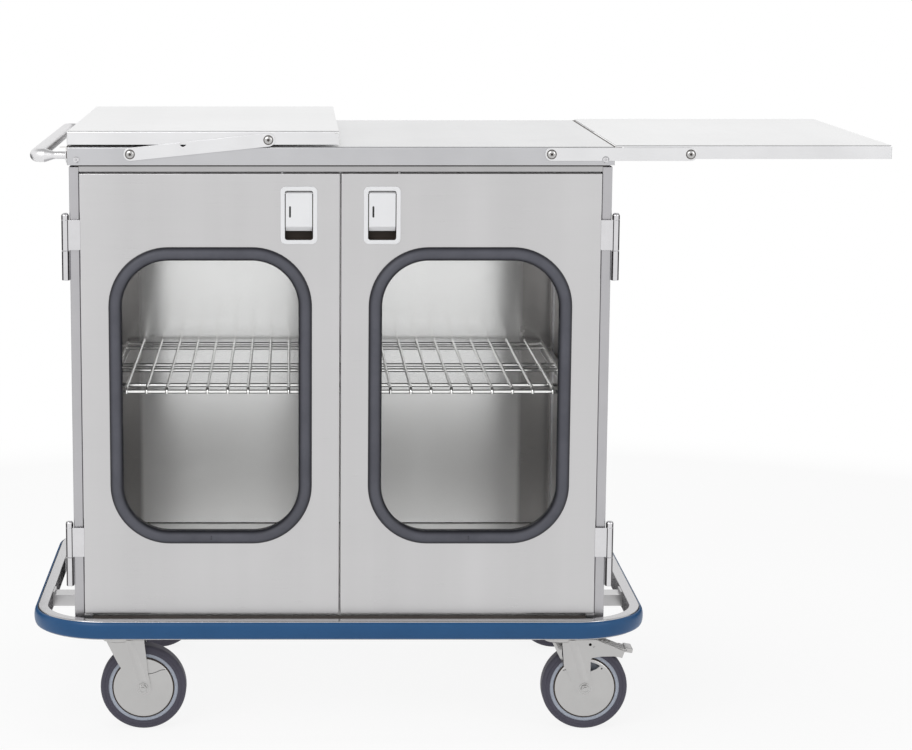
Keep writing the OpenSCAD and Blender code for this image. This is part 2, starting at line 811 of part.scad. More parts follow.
module wing_arms(s) {
    color(steel_light) at_cart() pair([0, 1, 0]) wing_pose_arm(s) translate([0, -arm_y, 0])
        rotate([90, 0, 0]) linear_extrude(height = arm_t) difference() {
            union() {
                translate([0, -arm_w / 2]) square([arm_l, arm_w]);
                for (x = [0, arm_l]) translate([x, 0]) circle(arm_w / 2);
            }
            for (x = [0, arm_l]) translate([x, 0]) circle(screw_d / 2);
            translate([pivot_in - stop_in, -stop_drop]) circle(stop_d / 2 + stop_clear);
            translate([pivot_in - stop_in - stop_d / 2 - stop_clear, -stop_drop - arm_w])
                square([stop_d + 2 * stop_clear, arm_w]);
        }
}

// The arm is drawn extended to the right; at rest the right arm is so, and the left one is folded
module wing_pose_arm(s) {
    if (s > 0) translate([pivot_x, 0, pivot_z]) children();
    else translate([-pivot_x, 0, pivot_z]) mirror([1, 0, 0]) rotate([0, -(180 - fold_angle), 0]) children();
}

// The wing is drawn extended to the right; at rest the left wing lies folded over the top
module wing_pose(s) {
    if (s > 0) translate([wing_x0, 0, wing_top_z]) children();
    else translate([-wing_x0 + fold_shift, 0, wing_top_z + fold_rise]) mirror([1, 0, 0]) children();
}

// Folded sheet with an open inner end, drawn from its inner end along +X with its top at 0
module wing_top(s) {
    slit_l = 9;
    slit_h = 2;
    color(steel_light) at_cart() wing_pose(s) difference() {
        translate([wing_l / 2, 0, -wing_h]) folded_top(wing_l, wing_d, wing_h);
        translate([-1, -wing_d / 2 + skin, -wing_h - 1])
            cube([edge_r + 2, wing_d - 2 * skin, wing_h - skin + 1]);
        translate([wing_pivot_in, 0, -wing_pivot_drop]) tube_y(screw_d / 2, wing_d + 2);
        translate([-1, -wing_d, -edge_r - slit_h]) cube([slit_l + 1, 2 * wing_d, slit_h]);
    }
}

// Two hat-section ribs below the wing, each with two rubber feet that rest on the work top
module wing_ribs(s) {
    rib_w = 40;
    rib_h = 18;
    rib_t = 1.5;
    rib_l = wing_d - 2 * skin - 20;
    foot_r = 9;
    foot_y = rib_l / 2 - 60;
    foot_h = fold_rise + wing_step - skin - rib_h;
    rib_off = 31;
    rib_end = 126;
    color(steel) at_cart() wing_pose(s)
        for (x = [wing_pivot_in + rib_off, wing_l - rib_end]) translate([x, 0, -skin]) {
        difference() {
            translate([-rib_w / 2, -rib_l / 2, -rib_h]) cube([rib_w, rib_l, rib_h]);
            translate([-rib_w / 2 + rib_t, -rib_l / 2 - 1, -rib_h + rib_t])
                cube([rib_w - 2 * rib_t, rib_l + 2, rib_h]);
        }
        for (y = [-foot_y, foot_y]) translate([0, y, -rib_h - foot_h]) cylinder(r = foot_r, h = foot_h);
    }
}

// Pivot screws in the wing's aprons
module wing_screws(s) {
    grip = arm_y + arm_t + 0.2 - wing_d / 2;
    color(steel_light) at_cart() pair([0, 1, 0]) wing_pose(s)
        translate([wing_pivot_in, 0, -wing_pivot_drop]) pivot_screw(wing_d / 2, grip);
}

// Casters

// Fixed plates with bolts up through the base frame's channels
module caster_plates() {
    plate_l = 100;
    plate_w = 85;
    bolt_x = 37;
    bolt_y = 30;
    race_r = 30;
    color(steel) at_cart() for (sx = [-1, 1], sy = [-1, 1])
        translate([sx * caster_x, sy * caster_y, caster_h]) {
            translate([-plate_l / 2, -plate_w / 2, -plate_t]) cube([plate_l, plate_w, plate_t]);
            translate([0, 0, -plate_t - race_h]) difference() {
                cylinder(r = race_r, h = race_h);
                translate([0, 0, -1]) cylinder(r = 8 + play, h = race_h);
            }
            for (x = [-bolt_x, bolt_x], y = [-bolt_y, bolt_y]) translate([x, y, -plate_t - 5])
                cylinder(r = 6.5, h = 5, $fn = 6);
        }
}

module caster_pose(sx, sy) at_cart() translate([sx * caster_x + trail, sy * caster_y, 0]) children();

// Drawn from the axle: two legs, the crown that joins them and the swivel head
module caster_fork(sx, sy, braked) {
    head_r = 28;
    head_z0 = fork_crown_z;
    head_z1 = caster_h - plate_t - race_h - 1;
    crown_x0 = -trail - crown_over;
    crown_x1 = 3;
    waist = 37;
    eye_z = axle_z + 6;
    eye_x = hub_boss_r - 0.9;
    leg = [
        [crown_x0, crown_top], [-waist, axle_z + waist], [-eye_x, eye_z], [eye_x, eye_z],
        [crown_x1, crown_top]
    ];
    horn_l = 64;
    horn_drop = 17;
    horn_h = 10;
    horn_back = 20;
    horn = [
        [-horn_back, crown_top], [pedal_pin_x, crown_top], [horn_l, fork_crown_z - horn_drop],
        [horn_l - 2, fork_crown_z - horn_drop - horn_h], [6, fork_crown_z - horn_drop - 5]
    ];
    color(steel) caster_pose(sx, sy) {
        pair([0, 1, 0]) translate([0, fork_in + fork_t, 0]) rotate([90, 0, 0])
            linear_extrude(height = fork_t) difference() {
                union() {
                    polygon(leg);
                    translate([0, axle_z]) circle(hub_boss_r);
                    if (braked) polygon(horn);
                }
                translate([0, axle_z]) circle(axle_d / 2 + play);
                if (braked) translate([pedal_pin_x, pedal_pin_z]) circle(pedal_pin_r + play);
            }
        translate([crown_x0, -fork_in - 1, fork_crown_z])
            cube([crown_x1 - crown_x0, 2 * fork_in + 2, crown_t]);
        translate([-trail, 0, head_z0]) cylinder(r = head_r, h = head_z1 - head_z0);
        translate([-trail, 0, head_z0]) cylinder(r = 8, h = head_z1 - head_z0 + 8);
    }
}

// Axle bolt with its head and nut, and the two dished thread guards beside the wheel
module caster_axle(sx, sy) {
    guard_t = 1.5;
    color(steel_light) caster_pose(sx, sy) translate([0, 0, axle_z]) {
        tube_y(axle_d / 2, 2 * (fork_in + fork_t) + 4);
        pair([0, 1, 0]) {
            translate([0, fork_in + fork_t, 0]) rotate([-90, 0, 0]) cylinder(r = 8.5, h = 6, $fn = 6);
            translate([0, fork_in, 0]) rotate([90, 0, 0]) difference() {
                cylinder(r1 = 20, r2 = guard_r, h = guard_t);
                translate([0, 0, 0.6]) cylinder(r1 = 17, r2 = guard_r - 2, h = guard_t);
            }
        }
    }
}

// Wheel core: hub, thin web and rim
module wheel_core(sx, sy) {
    rim_w = tyre_w - 4;
    hub_w = tyre_w;
    profile = [
        [axle_d / 2 + play, -hub_w / 2], [hub_boss_r, -hub_w / 2], [hub_boss_r + 3, -5], [core_r - 12, -5],
        [core_r - 8, -rim_w / 2], [core_r, -rim_w / 2], [core_r, rim_w / 2], [core_r - 8, rim_w / 2],
        [core_r - 12, 5], [hub_boss_r + 3, 5], [hub_boss_r, hub_w / 2], [axle_d / 2 + play, hub_w / 2]
    ];
    color("lightgray") caster_pose(sx, sy) translate([0, 0, axle_z]) rotate([90, 0, 0])
        rotate_extrude($fn = 96) polygon(profile);
}

// Rubber tyre with rounded shoulders
module wheel_tyre(sx, sy) {
    shoulder = 6;
    r = wheel_d / 2;
    color("dimgray") caster_pose(sx, sy) translate([0, 0, axle_z]) rotate([90, 0, 0])
        rotate_extrude($fn = 96) {
            translate([core_r, -tyre_w / 2 + shoulder]) square([tyre_t, tyre_w - 2 * shoulder]);
            translate([core_r, -tyre_w / 2]) square([tyre_t - shoulder, tyre_w]);
            for (y = [-1, 1]) translate([r - shoulder, y * (tyre_w / 2 - shoulder)]) circle(shoulder);
        }
}

// Foot pedal of the brake, on a pin between the fork's horns
module brake_pedal(sx, sy) {
    tread_w = 2 * fork_in - 2;
    slope = 10;
    color(steel_light) caster_pose(sx, sy) translate([pedal_pin_x, 0, pedal_pin_z]) {
        tube_y(pedal_pin_r, 2 * (fork_in + fork_t));
        rotate([0, slope, 0]) {
            translate([0, -tread_w / 2, -1.5]) cube([66, tread_w, 3]);
            translate([62, -tread_w / 2, -4]) cube([14, tread_w, 8]);
        }
    }
}

side_walls();
back_wall();
roof_pan();
floor_pan();
base_frame();
main_top();
top_stiffener();
end_blades();
push_handle();
bumper_rail();
bumper_strip();
bumper_brackets();
pilasters();
shelf_supports();
wire_shelf();
top_screws();
frame_hinges();
caster_plates();
door_pan(-1);  // left_door_pan
door_liner(-1);  // left_door_liner
window_pane(-1);  // left_window_pane
window_gasket(-1);  // left_window_gasket
hinge_leaves(-1);  // left_hinge_leaves
latch_bezel(-1);  // left_latch_bezel
latch_paddle(-1);  // left_latch_paddle
latch_pawl(-1);  // left_latch_pawl
door_pan(1);  // right_door_pan
door_liner(1);  // right_door_liner
window_pane(1);  // right_window_pane
window_gasket(1);  // right_window_gasket
hinge_leaves(1);  // right_hinge_leaves
latch_bezel(1);  // right_latch_bezel
latch_paddle(1);  // right_latch_paddle
latch_pawl(1);  // right_latch_pawl
wing_arms(-1);  // left_wing_arms
wing_top(-1);  // left_wing_top
wing_ribs(-1);  // left_wing_ribs
wing_screws(-1);  // left_wing_screws
wing_arms(1);  // right_wing_arms
wing_top(1);  // right_wing_top
wing_ribs(1);  // right_wing_ribs
wing_screws(1);  // right_wing_screws
caster_fork(-1, -1, false);  // front_left_fork
caster_axle(-1, -1);  // front_left_axle
wheel_core(-1, -1);  // front_left_core
wheel_tyre(-1, -1);  // front_left_tyre
caster_fork(1, -1, true);  // front_right_fork
caster_axle(1, -1);  // front_right_axle
wheel_core(1, -1);  // front_right_core
wheel_tyre(1, -1);  // front_right_tyre
caster_fork(-1, 1, false);  // rear_left_fork
caster_axle(-1, 1);  // rear_left_axle
wheel_core(-1, 1);  // rear_left_core
wheel_tyre(-1, 1);  // rear_left_tyre
caster_fork(1, 1, true);  // rear_right_fork
caster_axle(1, 1);  // rear_right_axle
wheel_core(1, 1);  // rear_right_core
wheel_tyre(1, 1);  // rear_right_tyre
brake_pedal(1, -1);  // front_right_pedal
brake_pedal(1, 1);  // rear_right_pedal
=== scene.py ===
"""Looks of the case cart: its detailed pieces, finishes, studio and camera.

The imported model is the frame. Most of its nodes are replaced here by pieces with bent, rounded and
welded detail, and the plain flat ones keep their mesh and get a finish. Sizes are in the cart's own
millimetres: X from the middle of the work top, Y towards the back, Z up from the floor.
"""

from __future__ import annotations

import sys

import logging
import math
from contextlib import contextmanager
from dataclasses import dataclass
from enum import Enum
from typing import Any, Callable, Iterator, Optional, Sequence, Union

import bmesh
import bpy
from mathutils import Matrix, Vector

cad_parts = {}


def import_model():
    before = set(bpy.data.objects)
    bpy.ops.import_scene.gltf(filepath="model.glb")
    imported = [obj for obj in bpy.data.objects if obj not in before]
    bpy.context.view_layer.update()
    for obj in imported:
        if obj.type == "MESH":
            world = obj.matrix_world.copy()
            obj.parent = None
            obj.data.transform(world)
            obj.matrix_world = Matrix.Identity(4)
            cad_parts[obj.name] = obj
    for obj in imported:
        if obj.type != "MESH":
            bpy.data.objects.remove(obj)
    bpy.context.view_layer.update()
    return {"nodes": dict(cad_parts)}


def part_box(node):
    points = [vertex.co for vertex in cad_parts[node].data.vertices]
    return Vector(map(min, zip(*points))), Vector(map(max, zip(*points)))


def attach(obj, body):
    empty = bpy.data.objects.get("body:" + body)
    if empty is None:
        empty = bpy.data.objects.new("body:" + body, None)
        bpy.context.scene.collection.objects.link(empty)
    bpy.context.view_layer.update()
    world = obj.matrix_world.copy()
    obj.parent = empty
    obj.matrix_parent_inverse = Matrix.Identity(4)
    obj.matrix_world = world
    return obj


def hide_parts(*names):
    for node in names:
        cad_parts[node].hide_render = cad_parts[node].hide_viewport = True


log = logging.getLogger("case_cart")

MM = 0.001
Point = Sequence[float]
Number = Union[float, "Sock"]
FaceTest = Callable[[Vector, Vector], bool]
EdgeTest = Callable[[Vector, Vector], bool]


# Shader expressions


class Sock:
    """An output socket in an expression; arithmetic on it adds Math nodes to its tree."""

    def __init__(self, tree: "Tree", socket: bpy.types.NodeSocket) -> None:
        """Keeps the socket with the tree that it belongs to.

        Args:
            tree: The material or world tree.
            socket: The output socket.
        """
        self.tree = tree
        self.socket = socket

    def maths(self, operation: str, *values: Number) -> "Sock":
        """Adds one Math node.

        Args:
            operation: The node's operation.
            values: Its inputs, sockets or numbers.

        Returns:
            The node's value.
        """
        return self.tree.add("ShaderNodeMath", {"operation": operation}, dict(enumerate(values)))

    def __add__(self, other: Number) -> "Sock":
        """self + other"""
        return self.maths("ADD", self, other)

    def __radd__(self, other: Number) -> "Sock":
        """other + self"""
        return self.maths("ADD", other, self)

    def __sub__(self, other: Number) -> "Sock":
        """self - other"""
        return self.maths("SUBTRACT", self, other)

    def __mul__(self, other: Number) -> "Sock":
        """self * other"""
        return self.maths("MULTIPLY", self, other)

    def __abs__(self) -> "Sock":
        """abs(self)"""
        return self.maths("ABSOLUTE", self)

    def at_most(self, limit: Number) -> "Sock":
        """The smaller of this value and the limit."""
        return self.maths("MINIMUM", self, limit)

    def at_least(self, limit: Number) -> "Sock":
        """The larger of this value and the limit."""
        return self.maths("MAXIMUM", self, limit)

    def ramp(self, low: float, high: float) -> "Sock":
        """This value mapped smoothly from 0 at low to 1 at high."""
        return self.tree.add(
            "ShaderNodeMapRange",
            {"interpolation_type": "SMOOTHSTEP"},
            {"Value": self, "From Min": low, "From Max": high},
        )


class Tree:
    """Builds the nodes of one material or world."""

    def __init__(self, owner: Union[bpy.types.Material, bpy.types.World]) -> None:
        """Starts with an empty tree.

        Args:
            owner: The material or world.
        """
        owner.use_nodes = True
        self.nodes = owner.node_tree.nodes
        self.links = owner.node_tree.links
        self.nodes.clear()

    def add(
        self,
        kind: str,
        settings: Optional[dict[str, Any]] = None,
        inputs: Optional[dict[Union[str, int], Any]] = None,
        output: Union[str, int] = 0,
    ) -> Sock:
        """Adds one node: its settings first, then the values or links of its inputs.

        Args:
            kind: The node's type.
            settings: Properties of the node.
            inputs: Values or sockets by input name or number.
            output: The output that is returned, among those in use.

        Returns:
            That output.
        """
        node = self.nodes.new(kind)
        for key, value in (settings or {}).items():
            setattr(node, key, value)
        for key, value in (inputs or {}).items():
            target = self.pick(node.inputs, key)
            if isinstance(value, Sock):
                self.links.new(value.socket, target)
            else:
                target.default_value = value
        return Sock(self, self.pick(node.outputs, output))

    @staticmethod
    def pick(sockets: Any, key: Union[str, int]) -> bpy.types.NodeSocket:
        """The socket in use with that name, or that number among those in use."""
        used = [s for s in sockets if s.enabled]
        return used[key] if isinstance(key, int) else next(s for s in used if s.name == key)

    def place(self, stretch: Point = (1, 1, 1)) -> Sock:
        """The point on the piece, in metres, scaled axis by axis."""
        coord = self.add("ShaderNodeTexCoord", output="Object")
        return self.add("ShaderNodeMapping", {}, {"Vector": coord, "Scale": stretch})

    def along(self, axis: str) -> Sock:
        """Where the point on the piece lies along X, Y or Z, in metres."""
        return self.add("ShaderNodeSeparateXYZ", {}, {0: self.place()}, axis)

    def noise(self, where: Sock, scale: float, detail: float = 3.0, rough: float = 0.55) -> Sock:
        """Noise from 0 to 1 at a place."""
        inputs = {"Vector": where, "Scale": scale, "Detail": detail, "Roughness": rough}
        return self.add("ShaderNodeTexNoise", {}, inputs)

    def blend(self, share: Number, first: Any, second: Any) -> Sock:
        """A colour between two colours."""
        return self.add("ShaderNodeMix", {"data_type": "RGBA"}, {"Factor": share, "A": first, "B": second})

    def mix(self, share: Sock, first: Sock, second: Sock) -> Sock:
        """A shader between two shaders."""
        return self.add("ShaderNodeMixShader", {}, {0: share, 1: first, 2: second})

    def glow(self, strength: float) -> Sock:
        """White light of that strength."""
        return self.add("ShaderNodeEmission", {}, {"Color": grey(1.0), "Strength": strength})

    def bump(self, height: Sock, depth: float) -> Sock:
        """A normal from a height map; depth is in metres."""
        return self.add("ShaderNodeBump", {}, {"Height": height, "Distance": depth})

    def principled(self, **inputs: Any) -> Sock:
        """A Principled shader; an underscore in a name stands for a space."""
        return self.add(
            "ShaderNodeBsdfPrincipled", {}, {k.replace("_", " "): v for k, v in inputs.items()}
        )

    def surface(self, shader: Sock, kind: str = "ShaderNodeOutputMaterial") -> None:
        """Adds the output node and links its surface."""
        self.links.new(shader.socket, self.nodes.new(kind).inputs["Surface"])


def seen_rays(tree: Tree) -> Sock:
    """1 for what the camera sees, also in metal and through glass, and 0 for what lights the cart."""
    rays = [
        tree.add("ShaderNodeLightPath", output=name)
        for name in ("Is Camera Ray", "Is Glossy Ray", "Is Transmission Ray")
    ]
    return rays[0].at_least(rays[1]).at_least(rays[2])


def grey(level: float) -> tuple[float, float, float, float]:
    """A neutral colour of that linear level."""
    return (level, level, level, 1.0)


def shade(tone: Sequence[float], share: float = 1.0) -> tuple[float, ...]:
    """A tone times a share, at most 1, as an opaque colour."""
    return (*(min(1.0, c * share) for c in tone), 1.0)


# Finishes


class Grain(Enum):
    """The direction that a steel sheet was brushed in, as the stretch of its grain along each axis."""

    ALONG_X = (0.012, 1.0, 1.0)
    ALONG_Y = (1.0, 0.012, 1.0)
    ALONG_Z = (1.0, 1.0, 0.012)


@dataclass(frozen=True)
class Finish:
    """A surface finish; the classes below say how it is made."""

    name: str

    def material(self) -> bpy.types.Material:
        """The finish as a material, made once."""
        name = self.name + "_finish"
        found = bpy.data.materials.get(name)
        if found is None:
            found = bpy.data.materials.new(name)
            tree = Tree(found)
            tree.surface(self.shader(tree))
        return found

    def shader(self, tree: Tree) -> Sock:
        """Builds the finish's nodes.

        Args:
            tree: The material's tree.

        Returns:
            The shader.
        """
        raise NotImplementedError


@dataclass(frozen=True)
class BrushedSteel(Finish):
    """Brushed stainless sheet: fine grain, faint clouds from handling, slightly uneven tone."""

    grain: Grain = Grain.ALONG_X
    streak: Grain = Grain.ALONG_Z
    tone: tuple[float, float, float] = (0.60, 0.595, 0.60)
    shine: float = 0.30
    depth: float = 0.00002
    contrast: float = 0.14
    stretch: float = 0.0

    def shader(self, tree: Tree) -> Sock:
        """Metal whose colour, roughness and normal follow the grain."""
        lines = tree.noise(tree.place(self.grain.value), 900.0, 4.0, 0.6)
        bands = tree.noise(tree.place(self.streak.value), 12.0, 3.0, 0.5)
        cloud = tree.noise(tree.place(), 2.6, 4.0, 0.6)
        smudge = tree.noise(tree.place(), 14.0, 5.0, 0.65).ramp(0.52, 0.78)
        tone = (lines - 0.5) * self.contrast + (bands - 0.5) * 0.55 + (cloud - 0.5) * 0.5
        share = (tone + 0.5).at_most(1.0).at_least(0.0)
        rough = self.shine + (lines - 0.5) * 0.12 + (bands - 0.5) * 0.05 + smudge * 0.05
        return tree.principled(
            Base_Color=tree.blend(share, shade(self.tone, 0.86), shade(self.tone, 1.14)),
            Metallic=1.0,
            Roughness=rough.at_least(0.08),
            Anisotropic=self.stretch,
            Anisotropic_Rotation=0.25,
            Normal=tree.bump(lines, self.depth),
        )


@dataclass(frozen=True)
class TwoFaced(Finish):
    """A sheet with one finish near a middle plane and another one further out along an axis."""

    inner: Finish
    outer: Finish
    split: float
    axis: str = "Y"
    middle: float = 0.0
    soft: float = 0.001

    def shader(self, tree: Tree) -> Sock:
        """The two finishes, mixed at the split."""
        away = abs(tree.along(self.axis) - self.middle)
        side = away.ramp(self.split - self.soft, self.split + self.soft)
        return tree.mix(side, self.inner.shader(tree), self.outer.shader(tree))


@dataclass(frozen=True)
class BeadRubber(Finish):
    """Extruded rubber, with a highlight painted paler along the crown of its bead, which faces the front.
    """

    tone: tuple[float, float, float] = (0.015, 0.015, 0.020)
    crown: tuple[float, float, float] = (0.100, 0.102, 0.122)
    low: float = 0.3290
    high: float = 0.3352

    def shader(self, tree: Tree) -> Sock:
        """Dielectric whose colour follows the height of the bead, paler on the crown as a painted
        highlight.
        """
        depth = tree.along("Y")
        cloud = tree.noise(tree.place(), 12.0, 4.0, 0.6)
        grit = tree.noise(tree.place(), 900.0, 2.0)
        # Painted highlight: paler towards the crown, the bead's highest part, with a cloudy variation.
        painted_highlight = abs(depth).ramp(self.low, self.high) * (cloud * 0.9 + 0.5)
        return tree.principled(
            Base_Color=tree.blend(painted_highlight.at_most(1.0), shade(self.tone), shade(self.crown)),
            Roughness=0.42 + (grit - 0.5) * 0.1,
            Specular_IOR_Level=0.2,
            Normal=tree.bump(grit, 0.00002),
        )


@dataclass(frozen=True)
class PlainMetal(Finish):
    """Drawn, cast or plated metal without a grain: tubes, wires, casters and screws."""

    tone: tuple[float, float, float] = (0.72, 0.72, 0.72)
    shine: float = 0.2
    mottle: float = 0.08
    scale: float = 60.0
    depth: float = 0.00001

    def shader(self, tree: Tree) -> Sock:
        """Metal with a soft mottle and light scuffs."""
        spots = tree.noise(tree.place(), self.scale, 4.0, 0.6)
        scuff = tree.noise(tree.place((1.0, 1.0, 6.0)), self.scale * 2.5, 3.0).ramp(0.58, 0.75)
        dark, light = shade(self.tone, 1 - self.mottle), shade(self.tone, 1 + self.mottle)
        return tree.principled(
            Base_Color=tree.blend(spots, dark, light),
            Metallic=1.0,
            Roughness=self.shine + (spots - 0.5) * 0.12 + scuff * 0.08,
            Normal=tree.bump(spots, self.depth),
        )


@dataclass(frozen=True)
class Moulded(Finish):
    """Moulded rubber or plastic with a fine skin texture, dust and a slight variation of colour."""

    tone: tuple[float, float, float] = (0.05, 0.05, 0.065)
    other: tuple[float, float, float] = (0.065, 0.065, 0.08)
    shine: float = 0.45
    grit: float = 900.0
    depth: float = 0.00003
    gloss: float = 0.5

    def shader(self, tree: Tree) -> Sock:
        """Dielectric with grit in its normal and clouds in its colour and roughness."""
        grit = tree.noise(tree.place(), self.grit, 2.0)
        cloud = tree.noise(tree.place(), 9.0, 4.0, 0.6)
        share = (cloud.ramp(0.3, 0.7) * 0.7 + grit * 0.3).at_most(1.0)
        return tree.principled(
            Base_Color=tree.blend(share, shade(self.tone), shade(self.other)),
            Roughness=self.shine + (cloud - 0.5) * 0.14 + (grit - 0.5) * 0.08,
            Specular_IOR_Level=self.gloss,
            Normal=tree.bump(grit * 0.7 + cloud * 0.3, self.depth),
        )


@dataclass(frozen=True)
class ClearGlass(Finish):
    """Thin clear glass: see-through, with a reflection that grows towards the edges."""

    def shader(self, tree: Tree) -> Sock:
        """A mix of a transparent and a glossy shader, by Fresnel and a trace of haze."""
        haze = tree.noise(tree.place(), 5.0, 4.0, 0.6).ramp(0.45, 0.8)
        edge = tree.add("ShaderNodeFresnel", {}, {"IOR": 1.45})
        clear = tree.add("ShaderNodeBsdfTransparent", {}, {"Color": (0.995, 0.997, 0.996, 1.0)})
        gloss = tree.principled(Base_Color=grey(0.9), Metallic=1.0, Roughness=0.03 + haze * 0.03)
        return tree.mix(edge * 0.3 + haze * 0.002, clear, gloss)


@dataclass(frozen=True)
class StudioFloor(Finish):
    """Pale studio floor that keeps shadows near the object and fades to the white backdrop."""

    near: float = 1.0
    far: float = 2.6
    lift: float = 0.87

    def shader(self, tree: Tree) -> Sock:
        """A pale matt surface near the cart, white further off."""
        place = tree.place((1.0, 1.0, 0.0))
        away = tree.add("ShaderNodeVectorMath", {"operation": "LENGTH"}, {0: place}, "Value")
        tone = tree.noise(tree.place(), 3.0, 3.0)
        matt = tree.principled(
            Base_Color=tree.blend(tone, grey(0.93), grey(0.95)), Roughness=0.85, Specular_IOR_Level=0.2
        )
        share = away.ramp(self.near, self.far).at_least(seen_rays(tree) * self.lift)
        return tree.mix(share, matt, tree.glow(1.0))


@dataclass(frozen=True)
class Finishes:
    """Every finish on the cart."""

    sheet_x: Finish = BrushedSteel("steel_brushed_along_x", Grain.ALONG_X, tone=(0.58, 0.575, 0.58))
    sheet_z: Finish = BrushedSteel(
        "steel_brushed_along_z", Grain.ALONG_Z, Grain.ALONG_Y, (0.47, 0.465, 0.48)
    )
    sheet_y: Finish = BrushedSteel("steel_brushed_along_y", Grain.ALONG_Y, Grain.ALONG_X)
    # The inside steel is painted much paler than the outside steel, standing in for light inside the
    # cabinet.
    inside: Finish = BrushedSteel(
        "steel_inside_painted_lighter", Grain.ALONG_X, Grain.ALONG_Z, (0.94, 0.935, 0.93), 0.22, 0.000001, 0.04, 0.9
    )
    # Darker bands at the back wall's ends: a painted reflection of the dark side walls, painted shade.
    painted_end_shade: Finish = BrushedSteel(
        "steel_back_wall_end_shade", Grain.ALONG_X, Grain.ALONG_Z, (0.33, 0.32, 0.315), 0.25, 0.000001, 0.04
    )
    wall: Finish = TwoFaced("steel_inside_wall", inside, painted_end_shade, 0.3665, "X", -0.2015, 0.006)
    back: Finish = TwoFaced("steel_back_wall", wall, sheet_x, 0.3075)
    # The side walls' inner faces are painted paler than their outside, standing in for light inside the
    # cabinet.
    lining: Finish = BrushedSteel(
        "steel_lining_painted_lighter", Grain.ALONG_Y, Grain.ALONG_Z, (0.74, 0.725, 0.715), 0.3, 0.000005, 0.05
    )
    # The door's inner skin is painted paler than its front, standing in for light inside the cabinet.
    liner: Finish = BrushedSteel(
        "steel_liner_painted_lighter", Grain.ALONG_Z, Grain.ALONG_Y, (0.95, 0.945, 0.94), 0.3
    )
    base: Finish = BrushedSteel("steel_base", Grain.ALONG_X, Grain.ALONG_Y, (0.74, 0.735, 0.73), 0.3)
    # The header under the top is painted darker than the other steel: painted shade from the overhanging
    # top.
    header: Finish = BrushedSteel(
        "steel_header_painted_shade", Grain.ALONG_X, Grain.ALONG_Y, (0.46, 0.455, 0.46), 0.3
    )
    # The top's face is painted pale and its front and back aprons darker: lit and shaded copies of one
    # steel, painted light and shade.
    top: Finish = TwoFaced(
        "steel_top",
        BrushedSteel("steel_top_face_painted_lit", Grain.ALONG_X, Grain.ALONG_Y, (0.81, 0.81, 0.815), 0.34),
        BrushedSteel("steel_top_edge_painted_shade", Grain.ALONG_X, Grain.ALONG_Y, (0.53, 0.53, 0.545), 0.34),
        0.3285,
    )
    # The wing's face is painted pale and its aprons and arms darker: lit and shaded copies of one steel,
    # painted light and shade.
    wing: Finish = TwoFaced(
        "steel_wing",
        BrushedSteel("steel_wing_face_painted_lit", Grain.ALONG_X, Grain.ALONG_Y, (0.95, 0.95, 0.955), 0.34),
        BrushedSteel("steel_wing_edge_painted_shade", Grain.ALONG_X, Grain.ALONG_Y, (0.75, 0.75, 0.76), 0.34),
        0.3285,
    )
    tube: Finish = PlainMetal("steel_tube", (0.78, 0.775, 0.785), 0.34, 0.05, 30.0, 0.000003)
    wire: Finish = PlainMetal("steel_wire", (0.94, 0.93, 0.915), 0.12)
    rail: Finish = PlainMetal("steel_rail", (0.50, 0.495, 0.505), 0.20, 0.05, 40.0, 0.000003)
    hardware: Finish = PlainMetal("steel_hardware", (0.68, 0.675, 0.69), 0.12)
    caster: Finish = PlainMetal("caster_plating", (0.50, 0.495, 0.49), 0.32, 0.06, 25.0)
    bolt: Finish = PlainMetal("bolt_steel", (0.50, 0.495, 0.49), 0.22)
    # Near-black steel painted on the sideways faces of the hinge knuckles and on the outer sides and
    # undersides of the shelf wires: painted shade and reflection.
    knuckle: Finish = PlainMetal("painted_dark_edges", (0.06, 0.055, 0.058), 0.3)
    rubber: Finish = BeadRubber("gasket_rubber")
    vinyl: Finish = Moulded(
        "strip_vinyl", (0.008, 0.070, 0.190), (0.012, 0.082, 0.216), 0.36, 700.0, 0.00001, gloss=0.35
    )
    plastic: Finish = Moulded(
        "latch_plastic", (0.78, 0.785, 0.80), (0.82, 0.825, 0.84), 0.35, 1500.0, 0.00001
    )
    # Dark brown for painted shade inside the latch cup, in the top's end seams and behind the caster
    # guards' edges, and for the dark joint at the cabinet floor.
    cup: Finish = Moulded("dark_joint_and_painted_shade", (0.040, 0.030, 0.024), (0.055, 0.043, 0.036), 0.5, gloss=0.2)
    # Dark brown for painted shade: the strip on the sill's face, the top stiffener in the gap under the
    # top, and the recess and collar of the pivot screws.
    painted_shade: Finish = Moulded("dark_painted_shade", (0.085, 0.074, 0.068), (0.105, 0.092, 0.086), 0.5, gloss=0.2)
    # Near-black for painted shade inside the paddle's slot.
    painted_dark: Finish = Moulded("latch_slot_painted_shade", (0.008, 0.008, 0.009), (0.012, 0.012, 0.013), 0.5)
    core: Finish = Moulded("wheel_core", (0.42, 0.46, 0.54), (0.46, 0.50, 0.58), 0.42)
    tyre: Finish = Moulded("tyre_rubber", (0.052, 0.049, 0.072), (0.066, 0.062, 0.088), 0.58)
    foot: Finish = Moulded("foot_rubber", (0.03, 0.03, 0.032), (0.04, 0.04, 0.042), 0.6)
    glass: Finish = ClearGlass("window_glass")
    floor: Finish = StudioFloor("studio_floor")


# Workbench


class Plane(Enum):
    """The plane of a flat outline: the axes of its two coordinates and of its normal."""

    XY = (0, 1, 2)
    XZ = (0, 2, 1)
    YZ = (1, 2, 0)

    def at(self, first: float, second: float, level: float = 0.0) -> tuple[float, ...]:
        """The point with those two coordinates in the plane, at a level along its normal."""
        point = [0.0, 0.0, 0.0]
        for axis, value in zip(self.value, (first, second, level)):
            point[axis] = value
        return tuple(point)


@dataclass(frozen=True)
class Straight:
    """A straight run of a traced section."""

    step: tuple[float, float, float]


@dataclass(frozen=True)
class Turn:
    """A bend of a traced section, right-handed about an axis through a centre."""

    centre: tuple[float, float, float]
    axis: tuple[float, float, float]
    degrees: float
    steps: int = 10


